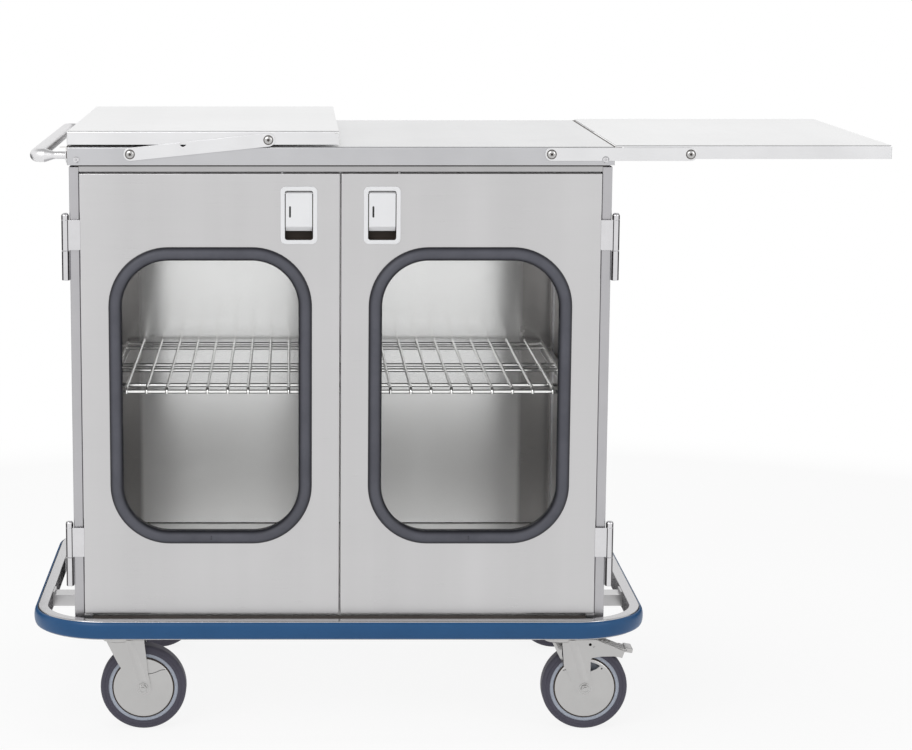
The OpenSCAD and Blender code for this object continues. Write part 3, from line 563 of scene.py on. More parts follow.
class Bench:
    """Modelling by Blender's operators, with every place and size in the cart's millimetres."""

    def __init__(self, middle: float) -> None:
        """Keeps where the cart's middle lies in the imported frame.

        Args:
            middle: X of the work top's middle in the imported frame, in metres.
        """
        self.origin = Vector((middle, 0.0, 0.0))

    def world(self, point: Point) -> Vector:
        """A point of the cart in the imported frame, in metres."""
        return Vector(point) * MM + self.origin

    def cart(self, point: Vector) -> Vector:
        """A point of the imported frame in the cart's millimetres."""
        return (point - self.origin) / MM

    @staticmethod
    def activate(*objects: bpy.types.Object) -> None:
        """Selects these objects alone, the first one active."""
        bpy.ops.object.select_all(action="DESELECT")
        for obj in objects:
            obj.select_set(True)
        bpy.context.view_layer.objects.active = objects[0]

    @contextmanager
    def editing(self, obj: bpy.types.Object, kind: str = "FACE") -> Iterator[bmesh.types.BMesh]:
        """Edit mode on one object with nothing selected.

        Args:
            obj: The object.
            kind: FACE, EDGE or VERT.

        Yields:
            The mesh being edited, to select in.
        """
        self.activate(obj)
        bpy.ops.object.mode_set(mode="EDIT")
        bpy.ops.mesh.select_mode(type=kind)
        bpy.ops.mesh.select_all(action="DESELECT")
        yield bmesh.from_edit_mesh(obj.data)
        bpy.ops.object.mode_set(mode="OBJECT")

    def pick_faces(self, mesh: bmesh.types.BMesh, test: FaceTest) -> None:
        """Selects the faces whose middle and normal pass the test."""
        for face in mesh.faces:
            face.select_set(test(self.cart(face.calc_center_median()), face.normal))

    def pick_edges(self, mesh: bmesh.types.BMesh, test: EdgeTest) -> None:
        """Selects the edges whose two ends pass the test."""
        for edge in mesh.edges:
            edge.select_set(test(self.cart(edge.verts[0].co), self.cart(edge.verts[1].co)))

    def named(self, name: str) -> bpy.types.Object:
        """The object just added, under that name."""
        obj = bpy.context.object
        obj.name = obj.data.name = name
        return obj

    def block(self, name: str, low: Point, high: Point) -> bpy.types.Object:
        """A block between two corners, as the start of a piece."""
        middle = (Vector(low) + Vector(high)) / 2
        size = (Vector(high) - Vector(low)) * MM
        bpy.ops.object.select_all(action="DESELECT")
        bpy.ops.mesh.primitive_cube_add(size=1, location=self.world(middle), scale=size)
        obj = self.named(name)
        bpy.ops.object.transform_apply(location=True, rotation=True, scale=True)
        return obj

    def ring(self, name: str, points: Sequence[Point], filled: bool) -> bpy.types.Object:
        """A polygon through the points, in the cart's frame, filled or as edges alone."""
        bpy.ops.object.select_all(action="DESELECT")
        bpy.ops.mesh.primitive_circle_add(
            vertices=len(points), radius=1, fill_type="NGON" if filled else "NOTHING"
        )
        obj = self.named(name)
        for vertex, point in zip(obj.data.vertices, points):
            vertex.co = self.world(point)
        return obj

    def plate(
        self, name: str, outline: Sequence[Point], plane: Plane, level: float, depth: float
    ) -> bpy.types.Object:
        """A flat outline, extruded along its plane's normal.

        Args:
            name: The piece's name.
            outline: The outline's points.
            plane: The plane of the outline.
            level: Where the plane lies along its normal.
            depth: How far the outline is extruded.

        Returns:
            The closed solid.
        """
        obj = self.ring(name, [plane.at(a, b, level) for a, b in outline], True)
        return self.thicken(obj, plane.at(0, 0, depth))

    def thicken(self, obj: bpy.types.Object, step: Point) -> bpy.types.Object:
        """Extrudes a whole open face into a closed solid."""
        with self.editing(obj):
            bpy.ops.mesh.select_all(action="SELECT")
            bpy.ops.mesh.extrude_region_move(
                TRANSFORM_OT_translate={"value": tuple(MM * s for s in step)}
            )
            self.outwards()
        return obj

    @staticmethod
    def outwards() -> None:
        """In edit mode, turns every face outwards."""
        bpy.ops.mesh.select_all(action="SELECT")
        bpy.ops.mesh.normals_make_consistent(inside=False)

    def lathe(
        self, name: str, profile: Sequence[Point], axis: int, centre: Point, steps: int = 40
    ) -> bpy.types.Object:
        """A closed profile spun about an axis.

        Args:
            name: The piece's name.
            profile: Points as radius and place along the axis.
            axis: The axis, 0 to 2.
            centre: A point on the axis, where the place along it is 0.
            steps: Facets round the axis.

        Returns:
            The closed solid.
        """
        radial = (axis + 1) % 3
        points = []
        for radius, along in profile:
            point = list(centre)
            point[radial] += radius
            point[axis] += along
            points.append(point)
        obj = self.ring(name, points, False)
        direction = [float(i == axis) for i in range(3)]
        with self.editing(obj, "VERT"):
            bpy.ops.mesh.select_all(action="SELECT")
            bpy.ops.mesh.spin(steps=steps, angle=math.tau, center=self.world(centre), axis=direction)
            self.weld()
        return obj

    def weld(self) -> None:
        """In edit mode, merges doubles, drops loose parts and turns faces outwards."""
        bpy.ops.mesh.select_all(action="SELECT")
        bpy.ops.mesh.remove_doubles(threshold=1e-6)
        bpy.ops.mesh.dissolve_degenerate(threshold=1e-7)
        bpy.ops.mesh.delete_loose()
        self.outwards()

    def trace(
        self,
        name: str,
        section: Sequence[Point],
        moves: Sequence[Union[Straight, Turn]],
        closed: bool = False,
    ) -> bpy.types.Object:
        """A section run along straights and bends.

        Args:
            name: The piece's name.
            section: The section's points at the start, in the cart's frame.
            moves: What the section follows.
            closed: Whether the last move ends at the start.

        Returns:
            The closed solid.
        """
        obj = self.ring(name, section, not closed)
        with self.editing(obj, "EDGE" if closed else "FACE"):
            bpy.ops.mesh.select_all(action="SELECT")
            for move in moves:
                if isinstance(move, Straight):
                    step = tuple(MM * s for s in move.step)
                    bpy.ops.mesh.extrude_region_move(TRANSFORM_OT_translate={"value": step})
                else:
                    bpy.ops.mesh.spin(
                        steps=move.steps,
                        angle=-math.radians(move.degrees),
                        center=self.world(move.centre),
                        axis=move.axis,
                    )
            self.weld()
        return obj

    def modify(self, obj: bpy.types.Object, kind: str, **settings: Any) -> bpy.types.Object:
        """Adds a modifier with its settings and applies it."""
        self.activate(obj)
        modifier = obj.modifiers.new(kind.title(), kind)
        for key, value in settings.items():
            setattr(modifier, key, value)
        bpy.ops.object.modifier_apply(modifier=modifier.name)
        return obj

    def cut(self, obj: bpy.types.Object, *cutters: bpy.types.Object) -> bpy.types.Object:
        """Cuts solids out of a piece and removes them."""
        for cutter in cutters:
            self.modify(obj, "BOOLEAN", operation="DIFFERENCE", solver="EXACT", object=cutter)
            bpy.data.objects.remove(cutter)
        return obj

    def fuse(self, obj: bpy.types.Object, *others: bpy.types.Object) -> bpy.types.Object:
        """Unites solids into one."""
        for other in others:
            self.modify(obj, "BOOLEAN", operation="UNION", solver="EXACT", object=other)
            bpy.data.objects.remove(other)
        return obj

    def join(self, name: str, *objects: bpy.types.Object) -> bpy.types.Object:
        """Joins pieces that touch or stand apart into one object."""
        self.activate(*objects)
        if len(objects) > 1:
            bpy.ops.object.join()
        return self.named(name)

    def copy(self, obj: bpy.types.Object, name: str, step: Point = (0, 0, 0)) -> bpy.types.Object:
        """A copy with its own mesh, moved by a step."""
        self.activate(obj)
        bpy.ops.object.duplicate(linked=False)
        twin = self.named(name)
        if any(step):
            self.move(twin, step)
        return twin

    def move(self, obj: bpy.types.Object, step: Point) -> None:
        """Moves a piece's mesh."""
        self.activate(obj)
        bpy.ops.transform.translate(value=tuple(MM * s for s in step))
        bpy.ops.object.transform_apply(location=True, rotation=True, scale=True)

    def mirrored(self, obj: bpy.types.Object, name: str, axis: int = 0) -> bpy.types.Object:
        """A mirror image of a piece across the cart's middle, with its own mesh."""
        twin = self.copy(obj, name)
        flip = [1.0, 1.0, 1.0]
        flip[axis] = -1.0
        with self.editing(twin, "VERT"):
            bpy.ops.mesh.select_all(action="SELECT")
            bpy.ops.transform.resize(value=flip, center_override=self.origin)
            self.outwards()
        return twin

    def both(self, name: str, obj: bpy.types.Object, axis: int) -> bpy.types.Object:
        """A piece joined with its mirror image."""
        return self.join(name, obj, self.mirrored(obj, name + "_twin", axis))

    def round_edges(
        self, obj: bpy.types.Object, test: EdgeTest, width: float, steps: int = 3
    ) -> bpy.types.Object:
        """Rounds the edges that pass the test."""
        with self.editing(obj, "EDGE") as mesh:
            self.pick_edges(mesh, test)
            bpy.ops.mesh.bevel(offset=width * MM, segments=steps, affect="EDGES")
        return obj

    def drop_faces(self, obj: bpy.types.Object, test: FaceTest) -> bpy.types.Object:
        """Deletes the faces that pass the test."""
        with self.editing(obj) as mesh:
            self.pick_faces(mesh, test)
            bpy.ops.mesh.delete(type="FACE")
        return obj

    def sheet(self, obj: bpy.types.Object, gauge: float) -> bpy.types.Object:
        """Gives an open shell its wall, inwards."""
        return self.modify(obj, "SOLIDIFY", thickness=gauge * MM, offset=-1.0, use_even_offset=True)

    def soften(
        self, obj: bpy.types.Object, width: float, steps: int = 2, degrees: float = 35.0
    ) -> bpy.types.Object:
        """Rounds every sharp edge a little."""
        return self.modify(
            obj,
            "BEVEL",
            width=width * MM,
            segments=steps,
            limit_method="ANGLE",
            angle_limit=math.radians(degrees),
            use_clamp_overlap=True,
        )

    def paint(self, obj: bpy.types.Object, finish: Finish, test: FaceTest) -> bpy.types.Object:
        """Gives the faces that pass the test a finish of their own."""
        if not obj.data.materials:
            obj.data.materials.append(None)
        obj.data.materials.append(finish.material())
        with self.editing(obj) as mesh:
            self.pick_faces(mesh, test)
            obj.active_material_index = len(obj.data.materials) - 1
            bpy.ops.object.material_slot_assign()
        return obj

    def seat(
        self,
        obj: bpy.types.Object,
        body: str,
        slot: str,
        finish: Finish,
        *replaced: str,
        crease: float = 32.0,
    ) -> bpy.types.Object:
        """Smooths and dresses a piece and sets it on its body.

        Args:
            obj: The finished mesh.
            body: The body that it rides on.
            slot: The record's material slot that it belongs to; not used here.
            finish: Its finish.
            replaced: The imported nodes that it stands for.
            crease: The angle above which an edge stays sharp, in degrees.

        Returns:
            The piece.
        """
        if obj.data.materials:
            obj.data.materials[0] = finish.material()
        else:
            obj.data.materials.append(finish.material())
        self.activate(obj)
        bpy.ops.object.shade_smooth_by_angle(angle=math.radians(crease))
        self.modify(obj, "WEIGHTED_NORMAL", keep_sharp=True, weight=60)
        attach(obj, body)
        if replaced:
            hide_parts(*replaced)
        log.info("%s on %s: %d faces, for %s", obj.name, body, len(obj.data.polygons), replaced)
        return obj


# Outlines


def rounded_rect(cx: float, cy: float, w: float, h: float, r: float, steps: int = 8) -> list[Point]:
    """A rounded rectangle's points, anticlockwise.

    Args:
        cx: Middle, first coordinate.
        cy: Middle, second coordinate.
        w: Width.
        h: Height.
        r: Corner radius.
        steps: Segments in a corner.

    Returns:
        The points.
    """
    points: list[Point] = []
    for quarter, (sx, sy) in enumerate([(1, 1), (-1, 1), (-1, -1), (1, -1)]):
        for i in range(steps + 1):
            a = math.radians(90 * (quarter + i / steps))
            points.append(
                (cx + sx * (w / 2 - r) + r * math.cos(a), cy + sy * (h / 2 - r) + r * math.sin(a))
            )
    return points


def arc(cx: float, cy: float, r: float, start: float, end: float, steps: int) -> list[Point]:
    """Points on an arc from one angle to another, in degrees."""
    turns = [math.radians(start + (end - start) * i / steps) for i in range(steps + 1)]
    return [(cx + r * math.cos(a), cy + r * math.sin(a)) for a in turns]


def hexagon(cx: float, cy: float, radius: float, turn: float = 0.0) -> list[Point]:
    """The corners of a nut or a hexagon recess; turn is its first corner's angle in degrees."""
    return arc(cx, cy, radius, turn, turn + 300, 5)


def disc(radius: float, low: float, high: float, edge: float) -> list[Point]:
    """The profile of a disc or pin with a small chamfer, for the lathe."""
    return [(0, low), (radius - edge, low), (radius, low + edge), (radius, high - edge),
            (radius - edge, high), (0, high)]


def circuit(plane: Plane, middle: Point, half: Point, steps: int) -> list[Union[Straight, Turn]]:
    """The way round a rectangle with a quarter bend at each corner, for a closed trace.

    Args:
        plane: XY or XZ.
        middle: The rectangle's middle in that plane.
        half: Half of its straight stretch along each axis of the plane.
        steps: Segments in a bend.

    Returns:
        The moves, from the middle of the low side and back to it.
    """
    axis = (0, 0, 1) if plane is Plane.XY else (0, -1, 0)
    corners = [(1, -1), (1, 1), (-1, 1), (-1, -1)]
    runs = [(1, 0), (0, 2), (-2, 0), (0, -2)]
    moves: list[Union[Straight, Turn]] = []
    for corner, run in zip(corners, runs):
        centre = [m + c * h for m, c, h in zip(middle, corner, half)]
        moves.append(Straight(plane.at(run[0] * half[0], run[1] * half[1])))
        moves.append(Turn(plane.at(*centre), axis, 90, steps))
    moves.append(Straight(plane.at(half[0], 0)))
    return moves


# The cart's sub-assemblies


@dataclass
class Shop:
    """What every sub-assembly needs: the bench and the finishes."""

    bench: Bench
    finishes: Finishes


@dataclass
class Cabinet:
    """Side walls with their stiles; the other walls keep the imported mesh."""

    shop: Shop
    half: float = 456.5
    front: float = -318.0
    back: float = 325.0
    base: float = 205.0
    roof: float = 990.0
    wall: float = 38.5
    stile: float = 16.5
    stile_deep: float = 20.0
    sill_low: float = 206.0
    tab_in: float = 426.0
    tab_front: float = -322.5
    tab_top: float = 217.0
    # Size and place of the dark strip on the sill's face below the doors, which is painted shade.
    shade_half: float = 425.5
    shade_front: float = -321.0
    shade_top: float = 214.4
    joint_y: float = 288.4
    joint_z: float = 239.6
    joint_w: float = 2.0

    def build(self) -> None:
        """Makes the side walls, and the small pieces at the sill and on the floor; the strip on the sill's
        face is a dark piece of painted shade below the doors.
        """
        bench, use = self.shop.bench, self.shop.finishes
        inner, edge = self.half - self.wall, self.half - self.stile
        step = self.front + self.stile_deep
        outline = [(inner, step), (edge, step), (edge, self.front), (self.half, self.front),
                   (self.half, self.back), (inner, self.back)]
        wall = bench.plate("wall", outline, Plane.XY, self.base, self.roof - self.base)
        bench.soften(wall, 1.5, 3)
        walls = bench.both("side_wall_skins", wall, 0)
        # Painted light: the side walls' inner faces get the paler lining tone, standing in for light
        # inside the cabinet.
        bench.paint(walls, use.lining, lambda c, n: abs(c.x) < inner + 0.3 and c.z < self.roof - 1)
        bench.seat(walls, "cart", "sheet_steel", use.sheet_z, "side_walls")
        tab = bench.block(
            "tab", (self.tab_in, self.tab_front, self.sill_low), (edge, self.front + 3, self.tab_top)
        )
        tabs = bench.both("sill_end_tabs", bench.soften(tab, 0.8, 2), 0)
        bench.seat(tabs, "cart", "sheet_steel", use.sheet_z)
        # A dark strip on the sill's face below the doors: painted shade.
        painted_shade = bench.block(
            "cabinet_sill_shade_strip",
            (-self.shade_half, self.shade_front, self.sill_low),
            (self.shade_half, self.front + 0.5, self.shade_top),
        )
        bench.seat(bench.soften(painted_shade, 0.6, 2), "cart", "gasket_rubber", use.painted_shade)
        y, z, w = self.joint_y, self.joint_z, self.joint_w
        joint = bench.block("cabinet_floor_joint", (-inner, y, z), (inner, y + w, z + w))
        bench.round_edges(joint, lambda a, b: max(a.y, b.y) < y + 0.6 and min(a.z, b.z) > z + 1.4, 1.2, 3)
        bench.seat(joint, "cart", "gasket_rubber", use.cup)


@dataclass
class Door:
    """A glazed door: folded skin, gasket, latch and its halves of the hinges. Drawn for the right."""

    shop: Shop
    x0: float = 1.0
    x1: float = 439.0
    y: float = -325.0
    z0: float = 219.0
    z1: float = 979.0
    deep: float = 25.0
    gauge: float = 1.5
    win_x: float = 220.0
    win_z: float = 599.0
    win_w: float = 345.0
    win_h: float = 512.0
    win_r: float = 102.0
    bead: float = 23.5
    proud: float = 10.0
    latch_x: float = 70.0
    cup_z0: float = 867.0
    cup_z1: float = 950.0
    cup_w: float = 47.5
    cup_deep: float = 17.0
    bezel: tuple[float, float, float, float] = (62.0, 97.0, 9.0, 3.0)
    shaft_z: float = 945.8
    slot_x: float = -15.0
    slot: tuple[float, float, float] = (905.0, 924.0, 3.2)
    lip: float = 6.0
    hatch_play: float = 4.0
    pawl_from: float = 25.75
    pawl_w: float = 7.0
    barrel_r: float = 3.6

    def build(self) -> None:
        """Makes the right door's pieces and mirrors them to the left."""
        use = self.shop.finishes
        for maker, name, body, slot, finish, node in [
            (self.skin, "door_skin", "door", "sheet_steel", use.sheet_x, "door_pan"),
            (self.gasket, "door_gasket", "door", "gasket_rubber", use.rubber, "window_gasket"),
            (self.latch_frame, "latch_frame", "door", "latch_plastic", use.plastic, "latch_bezel"),
            (self.flap, "latch_flap", "latch", "latch_plastic", use.plastic, "latch_paddle"),
            (self.hinges, "door_hinge_halves", "door", "hardware_steel", use.hardware, "hinge_leaves"),
        ]:
            right = maker("right_" + name)
            left = self.shop.bench.mirrored(right, "left_" + name)
            for side, piece in (("right", right), ("left", left)):
                if name == "latch_flap":
                    self.slot_mark(piece, self.latch_x if side == "right" else -self.latch_x)
                self.shop.bench.seat(piece, f"{side}_{body}", slot, finish, f"{side}_{node}")

    def skin(self, name: str) -> bpy.types.Object:
        """The front sheet with its folded edges, window opening and latch opening."""
        bench = self.shop.bench
        pan = bench.block(name, (self.x0, self.y, self.z0), (self.x1, self.y + self.deep, self.z1))
        bench.round_edges(pan, lambda a, b: min(a.y, b.y) < self.y + 1, 2.0, 4)
        bench.drop_faces(pan, lambda centre, facing: facing.y > 0.9)
        bench.sheet(pan, self.gauge)
        lip, play = self.lip, self.hatch_play
        window = rounded_rect(
            self.win_x, self.win_z, self.win_w - 2 * lip, self.win_h - 2 * lip, self.win_r - lip, 16
        )
        mid, high = (self.cup_z0 + self.cup_z1) / 2, self.cup_z1 - self.cup_z0
        hatch = rounded_rect(self.latch_x, mid, self.cup_w + play, high + play, 2.0, 3)
        pawl = self.latch_x + self.pawl_from
        bench.cut(
            pan,
            bench.plate("opening", window, Plane.XZ, self.y - 1, 4.0),
            bench.plate("hatch", hatch, Plane.XZ, self.y - 1, 4.0),
            bench.block(
                "pawl_slot",
                (pawl, self.y + 3, self.z1 - 3),
                (pawl + self.pawl_w, self.y + 23, self.z1 + 1),
            ),
        )
        return pan

    def gasket(self, name: str) -> bpy.types.Object:
        """The rubber section run round the window opening, joined at the bottom."""
        bench = self.shop.bench
        r = self.bead / 2
        low = self.proud - r
        reach = math.degrees(math.asin(-low / r))
        bead = arc(r, low, r, 180 - reach, reach, 18)
        section = [(0.3, 0.0)] + bead[1:-1] + [
            (self.bead - 0.3, 0.0), (17.2, 0.0), (17.2, -self.deep), (22.5, -self.deep),
            (22.5, -self.deep - 2.5), (4.0, -self.deep - 2.5), (4.0, -7.0), (10.3, -7.0),
            (10.3, -3.0), (4.0, -3.0), (4.0, 0.0),
        ]
        w = self.win_w / 2 - self.bead
        h = self.win_h / 2 - self.bead
        c = self.win_r - self.bead
        at_start = [(self.win_x, self.y - v, self.win_z - h - u) for u, v in section]
        moves = circuit(Plane.XZ, (self.win_x, self.win_z), (w - c, h - c), 18)
        ring = bench.trace(name, at_start, moves, closed=True)
        groove = bench.block(
            "splice",
            (self.win_x - 0.35, self.y - self.proud - 1, self.win_z - h - self.bead - 1),
            (self.win_x + 0.35, self.y - self.proud + 0.7, self.win_z - h + 1),
        )
        return bench.cut(ring, groove)

    def latch_frame(self, name: str) -> bpy.types.Object:
        """The bezel and the cup behind it, whose inside is painted dark as shade."""
        bench = self.shop.bench
        w, h, r, thick = self.bezel
        mid = (self.cup_z0 + self.cup_z1) / 2
        face = self.y - thick
        plate = bench.plate(
            name, rounded_rect(self.latch_x, mid, w, h, r, 6), Plane.XZ, face, thick + 0.4
        )
        bench.round_edges(plate, lambda a, b: max(a.y, b.y) < face + 0.1, 1.0, 3)
        cup = bench.block(
            "cup",
            (self.latch_x - self.cup_w / 2 - 1.5, self.y + 0.2, self.cup_z0 - 1.5),
            (self.latch_x + self.cup_w / 2 + 1.5, self.y + self.cup_deep, self.cup_z1 + 1.5),
        )
        bench.fuse(plate, cup)
        hollow = bench.plate(
            "hollow",
            rounded_rect(self.latch_x, mid, self.cup_w, self.cup_z1 - self.cup_z0, 4.0, 5),
            Plane.XZ,
            face - 1,
            self.cup_deep - 1.5 + thick + 1,
        )
        bench.cut(plate, hollow)
        inside = self.cup_w / 2 + 0.2
        # Painted shade: the inside of the cup is dark brown.
        bench.paint(
            bench.soften(plate, 0.35, 2, 50.0),
            self.shop.finishes.cup,
            lambda c, n: c.y > self.y + 0.3
            and abs(c.x - self.latch_x) < inside
            and self.cup_z0 - 0.2 < c.z < self.cup_z1 + 0.2
            and c.y < self.y + self.cup_deep - 1.3,
        )
        return plate

    def flap(self, name: str) -> bpy.types.Object:
        """The paddle: a bent plate on a barrel, its foot set back for the fingers."""
        bench = self.shop.bench
        face = self.y - self.bezel[3]
        top, bend, foot = self.shaft_z - 0.9, self.shaft_z - 56, self.shaft_z - 64
        profile = [(face, top), (face, bend), (face + 7, foot), (face + 10, foot), (face + 3, bend),
                   (face + 3, top)]
        half = self.cup_w / 2 - 1.5
        plate = bench.plate(name, profile, Plane.YZ, self.latch_x - half, 2 * half)
        centre = (self.latch_x, self.y + 5, self.shaft_z)
        barrel = bench.lathe("barrel", disc(self.barrel_r, -half, half, 0.3), 0, centre, 24)
        web = bench.block(
            "web",
            (self.latch_x - half + 1, face + 1, self.shaft_z - 3.5),
            (self.latch_x + half - 1, self.y + 5, self.shaft_z + 0.5),
        )
        bench.fuse(plate, barrel, web)
        return bench.soften(plate, 0.5, 2, 30.0)

    def slot_mark(self, flap: bpy.types.Object, middle: float) -> None:
        """Cuts the narrow dark slot into a paddle's face, left of its middle on both doors, and paints its
        inside near-black as shade.
        """
        bench = self.shop.bench
        face = self.y - self.bezel[3]
        x = middle + self.slot_x
        z0, z1, wide = self.slot
        outline = rounded_rect(x, (z0 + z1) / 2, wide, z1 - z0, 1.2, 3)
        bench.cut(flap, bench.plate("slot", outline, Plane.XZ, face - 1, 2.6))
        # Painted shade: the slot's walls and floor are near-black.
        bench.paint(
            flap,
            self.shop.finishes.painted_dark,
            lambda c, n: abs(c.x - x) < wide / 2 + 0.1
            and z0 - 0.1 < c.z < z1 + 0.1
            and face + 0.2 < c.y < face + 1.7,
        )

    def hinges(self, name: str) -> bpy.types.Object:
        """The door's knuckles with their caps, each on a leaf that is welded over the door's edge."""
        bench = self.shop.bench
        made = []
        for z in Hinges.lower_ends:
            z0 = z + Hinges.low + 0.5
            centre = (Hinges.x, Hinges.y, z0)
            profile = [(3.55, 0), (5.9, 0), (6.5, 0.6), (6.5, 51.4), (6.0, 52.0), (6.5, 52.6), (6.5, 59.4),
                       (5.9, 60.4), (5.2, 62.0), (3.2, 63.6), (0, 63.6), (0, 50), (3.55, 50)]
            knuckle = bench.lathe("knuckle", profile, 2, centre, 32)
            low = (self.x1 - 0.8, Hinges.y - 4.7, z0 + 1)
            leaf = bench.block("leaf", low, (Hinges.x - 5, Hinges.y - 2.7, z0 + 52))
            bench.round_edges(
                leaf, lambda a, b: max(a.x, b.x) < self.x1 and abs(a.y - b.y) > 1, 0.9, 3
            )
            # Painted shade and reflection: the knuckle's faces that point sideways are near-black.
            bench.paint(knuckle, self.shop.finishes.knuckle, lambda c, n: abs(n.x) > 0.62)
            made += [knuckle, bench.soften(leaf, 0.5, 2)]
        return bench.join(name, *made)


@dataclass
class Hinges:
    """The frame's halves of the hinges."""

    shop: Shop
    x: float = 463.5
    y: float = -320.5
    low: float = 50.0
    radius: float = 6.5
    pin_r: float = 3.5
    pin_top: float = 98.0
    lower_ends: tuple[float, float] = (268.0, 798.0)

    def build(self) -> None:
        """Makes the lower knuckles, their pins and their weld plates."""
        bench = self.shop.bench
        made = []
        for z in self.lower_ends:
            centre = (self.x, self.y, z)
            barrel = bench.lathe("knuckle", disc(self.radius, 0, self.low, 0.6), 2, centre, 32)
            # Painted shade and reflection: the knuckle's faces that point sideways are near-black.
            made.append(bench.paint(barrel, self.shop.finishes.knuckle, lambda c, n: abs(n.x) > 0.62))
            pin = disc(self.pin_r, self.low - 1, self.pin_top, 0.8)
            made.append(bench.lathe("pin", pin, 2, centre, 24))
            plate = bench.block(
                "weld", (self.x - 7, self.y, z), (self.x - 4, self.y + 30, z + self.low)
            )
            made.append(bench.soften(plate, 0.8, 2))
        halves = bench.both("frame_hinge_halves", bench.join("half", *made), 0)
        bench.seat(halves, "cart", "hardware_steel", self.shop.finishes.hardware, "frame_hinges")


@dataclass
class WorkTop:
    """The folded work top, its pivot screws and stop pins."""

    shop: Shop
    half_x: float = 458.5
    half_y: float = 330.0
    low: float = 993.0
    high: float = 1024.0
    gauge: float = 1.5
    bend: float = 3.0
    pivot: tuple[float, float] = (352.5, 1011.5)
    stop: tuple[float, float] = (442.8, 1002.5)
    seam_low: float = 1004.0

    def build(self) -> None:
        """Makes the top's sheet and what is screwed into its aprons."""
        bench, use = self.shop.bench, self.shop.finishes
        top = folded_top(
            bench,
            "work_top_sheet",
            (-self.half_x, -self.half_y, self.low),
            (self.half_x, self.half_y, self.high),
            self.bend,
            self.gauge,
            False,
        )
        bench.seat(top, "cart", "top_steel", use.top, "main_top")
        # Dark strips over the bends at the top's ends: painted shade in the seam to the wings.
        seam = bench.block(
            "seam",
            (self.half_x - 2.0, 4 - self.half_y, self.seam_low),
            (self.half_x + 1.5, self.half_y - 4, self.high + 0.1),
        )
        seams = bench.both("top_end_shade_strips", bench.soften(seam, 0.5, 2), 0)
        bench.seat(seams, "cart", "gasket_rubber", use.cup)
        screws = [pivot_screw(bench, use.painted_shade, sx * self.pivot[0], self.pivot[1]) for sx in (-1, 1)]
        screws = bench.both("top_pivot_screws", bench.join("screws", *screws), 1)
        bench.seat(screws, "cart", "hardware_steel", use.bolt, "top_screws")
        pins = []
        for sx in (-1, 1):
            centre = (sx * self.stop[0], -self.half_y, self.stop[1])
            profile = [(0, -4.0), (1.1, -4.0), (1.3, -3.4), (1.8, -4.1), (4.0, -4.0), (5.0, -3.0),
                       (5.0, 0.0), (2.4, 0.0), (2.4, 4.0), (0, 4.0)]
            pins.append(bench.lathe("pin", profile, 1, centre, 28))
        pins = bench.both("top_stop_pins", bench.join("pins", *pins), 1)
        bench.seat(pins, "cart", "hardware_steel", use.hardware)


def folded_top(
    bench: Bench, name: str, low: Point, high: Point, bend: float, gauge: float, open_left: bool
) -> bpy.types.Object:
    """A sheet folded down on its edges, open below.

    Args:
        bench: The bench.
        name: The piece's name.
        low: Its lowest corner.
        high: Its highest corner.
        bend: Outer radius of the bends.
        gauge: Sheet gauge.
        open_left: Whether its left end has no apron.

    Returns:
        The sheet.
    """
    shell = bench.block(name, low, high)

    def bent(a: Vector, b: Vector) -> bool:
        """Whether an edge is a bend or an upright corner, and not on the open end."""
        lies_low = max(a.z, b.z) < low[2] + 0.1
        at_end = open_left and max(a.x, b.x) < low[0] + 0.1
        return not lies_low and not at_end

    bench.round_edges(shell, bent, bend, 4)
    bench.drop_faces(
        shell, lambda c, n: n.z < -0.9 or (open_left and n.x < -0.9 and c.x < low[0] + 1)
    )
    return bench.soften(bench.sheet(shell, gauge), 0.35, 2, 60.0)


def pivot_screw(bench: Bench, painted_dark: Finish, x: float, z: float) -> bpy.types.Object:
    """A domed screw with a hexagon recess, its collar, shank and nut, at the front; the recess and the
    collar are painted dark as shade.

    Args:
        bench: The bench.
        painted_dark: The finish of the recess and of the collar under the head.
        x: Place of its axis.
        z: Height of its axis.

    Returns:
        The screw.
    """
    seat_y = -333.7
    profile = [(0, 0.4), (0, -2.7), (3.2, -2.6), (5.6, -2.0), (6.7, -1.0), (7.0, -0.2), (6.8, 0.0),
               (3.95, 0.0), (3.95, 0.4)]
    head = bench.lathe("head", profile, 1, (x, seat_y, z), 36)
    bench.cut(head, bench.plate("recess", hexagon(x, z, 2.3), Plane.XZ, seat_y - 4, 3.0))
    # Painted shade: the recess and the middle of the head are dark.
    bench.paint(head, painted_dark, lambda c, n: math.hypot(c.x - x, c.z - z) < 2.6)
    shank = bench.lathe("shank", disc(3.95, 0.2, 10.2, 0.4), 1, (x, seat_y, z), 20)
    grip = bench.plate("nut", hexagon(x, z, 7), Plane.XZ, WorkTop.gauge - WorkTop.half_y, 5.0)
    collar = bench.lathe("collar", disc(8.2, -0.5, 0.0, 0.1), 1, (x, seat_y, z), 36)
    # Painted shade: the collar is a dark ring under the head.
    bench.paint(collar, painted_dark, lambda c, n: True)
    return bench.join("screw", head, shank, collar, bench.soften(grip, 0.6, 2))


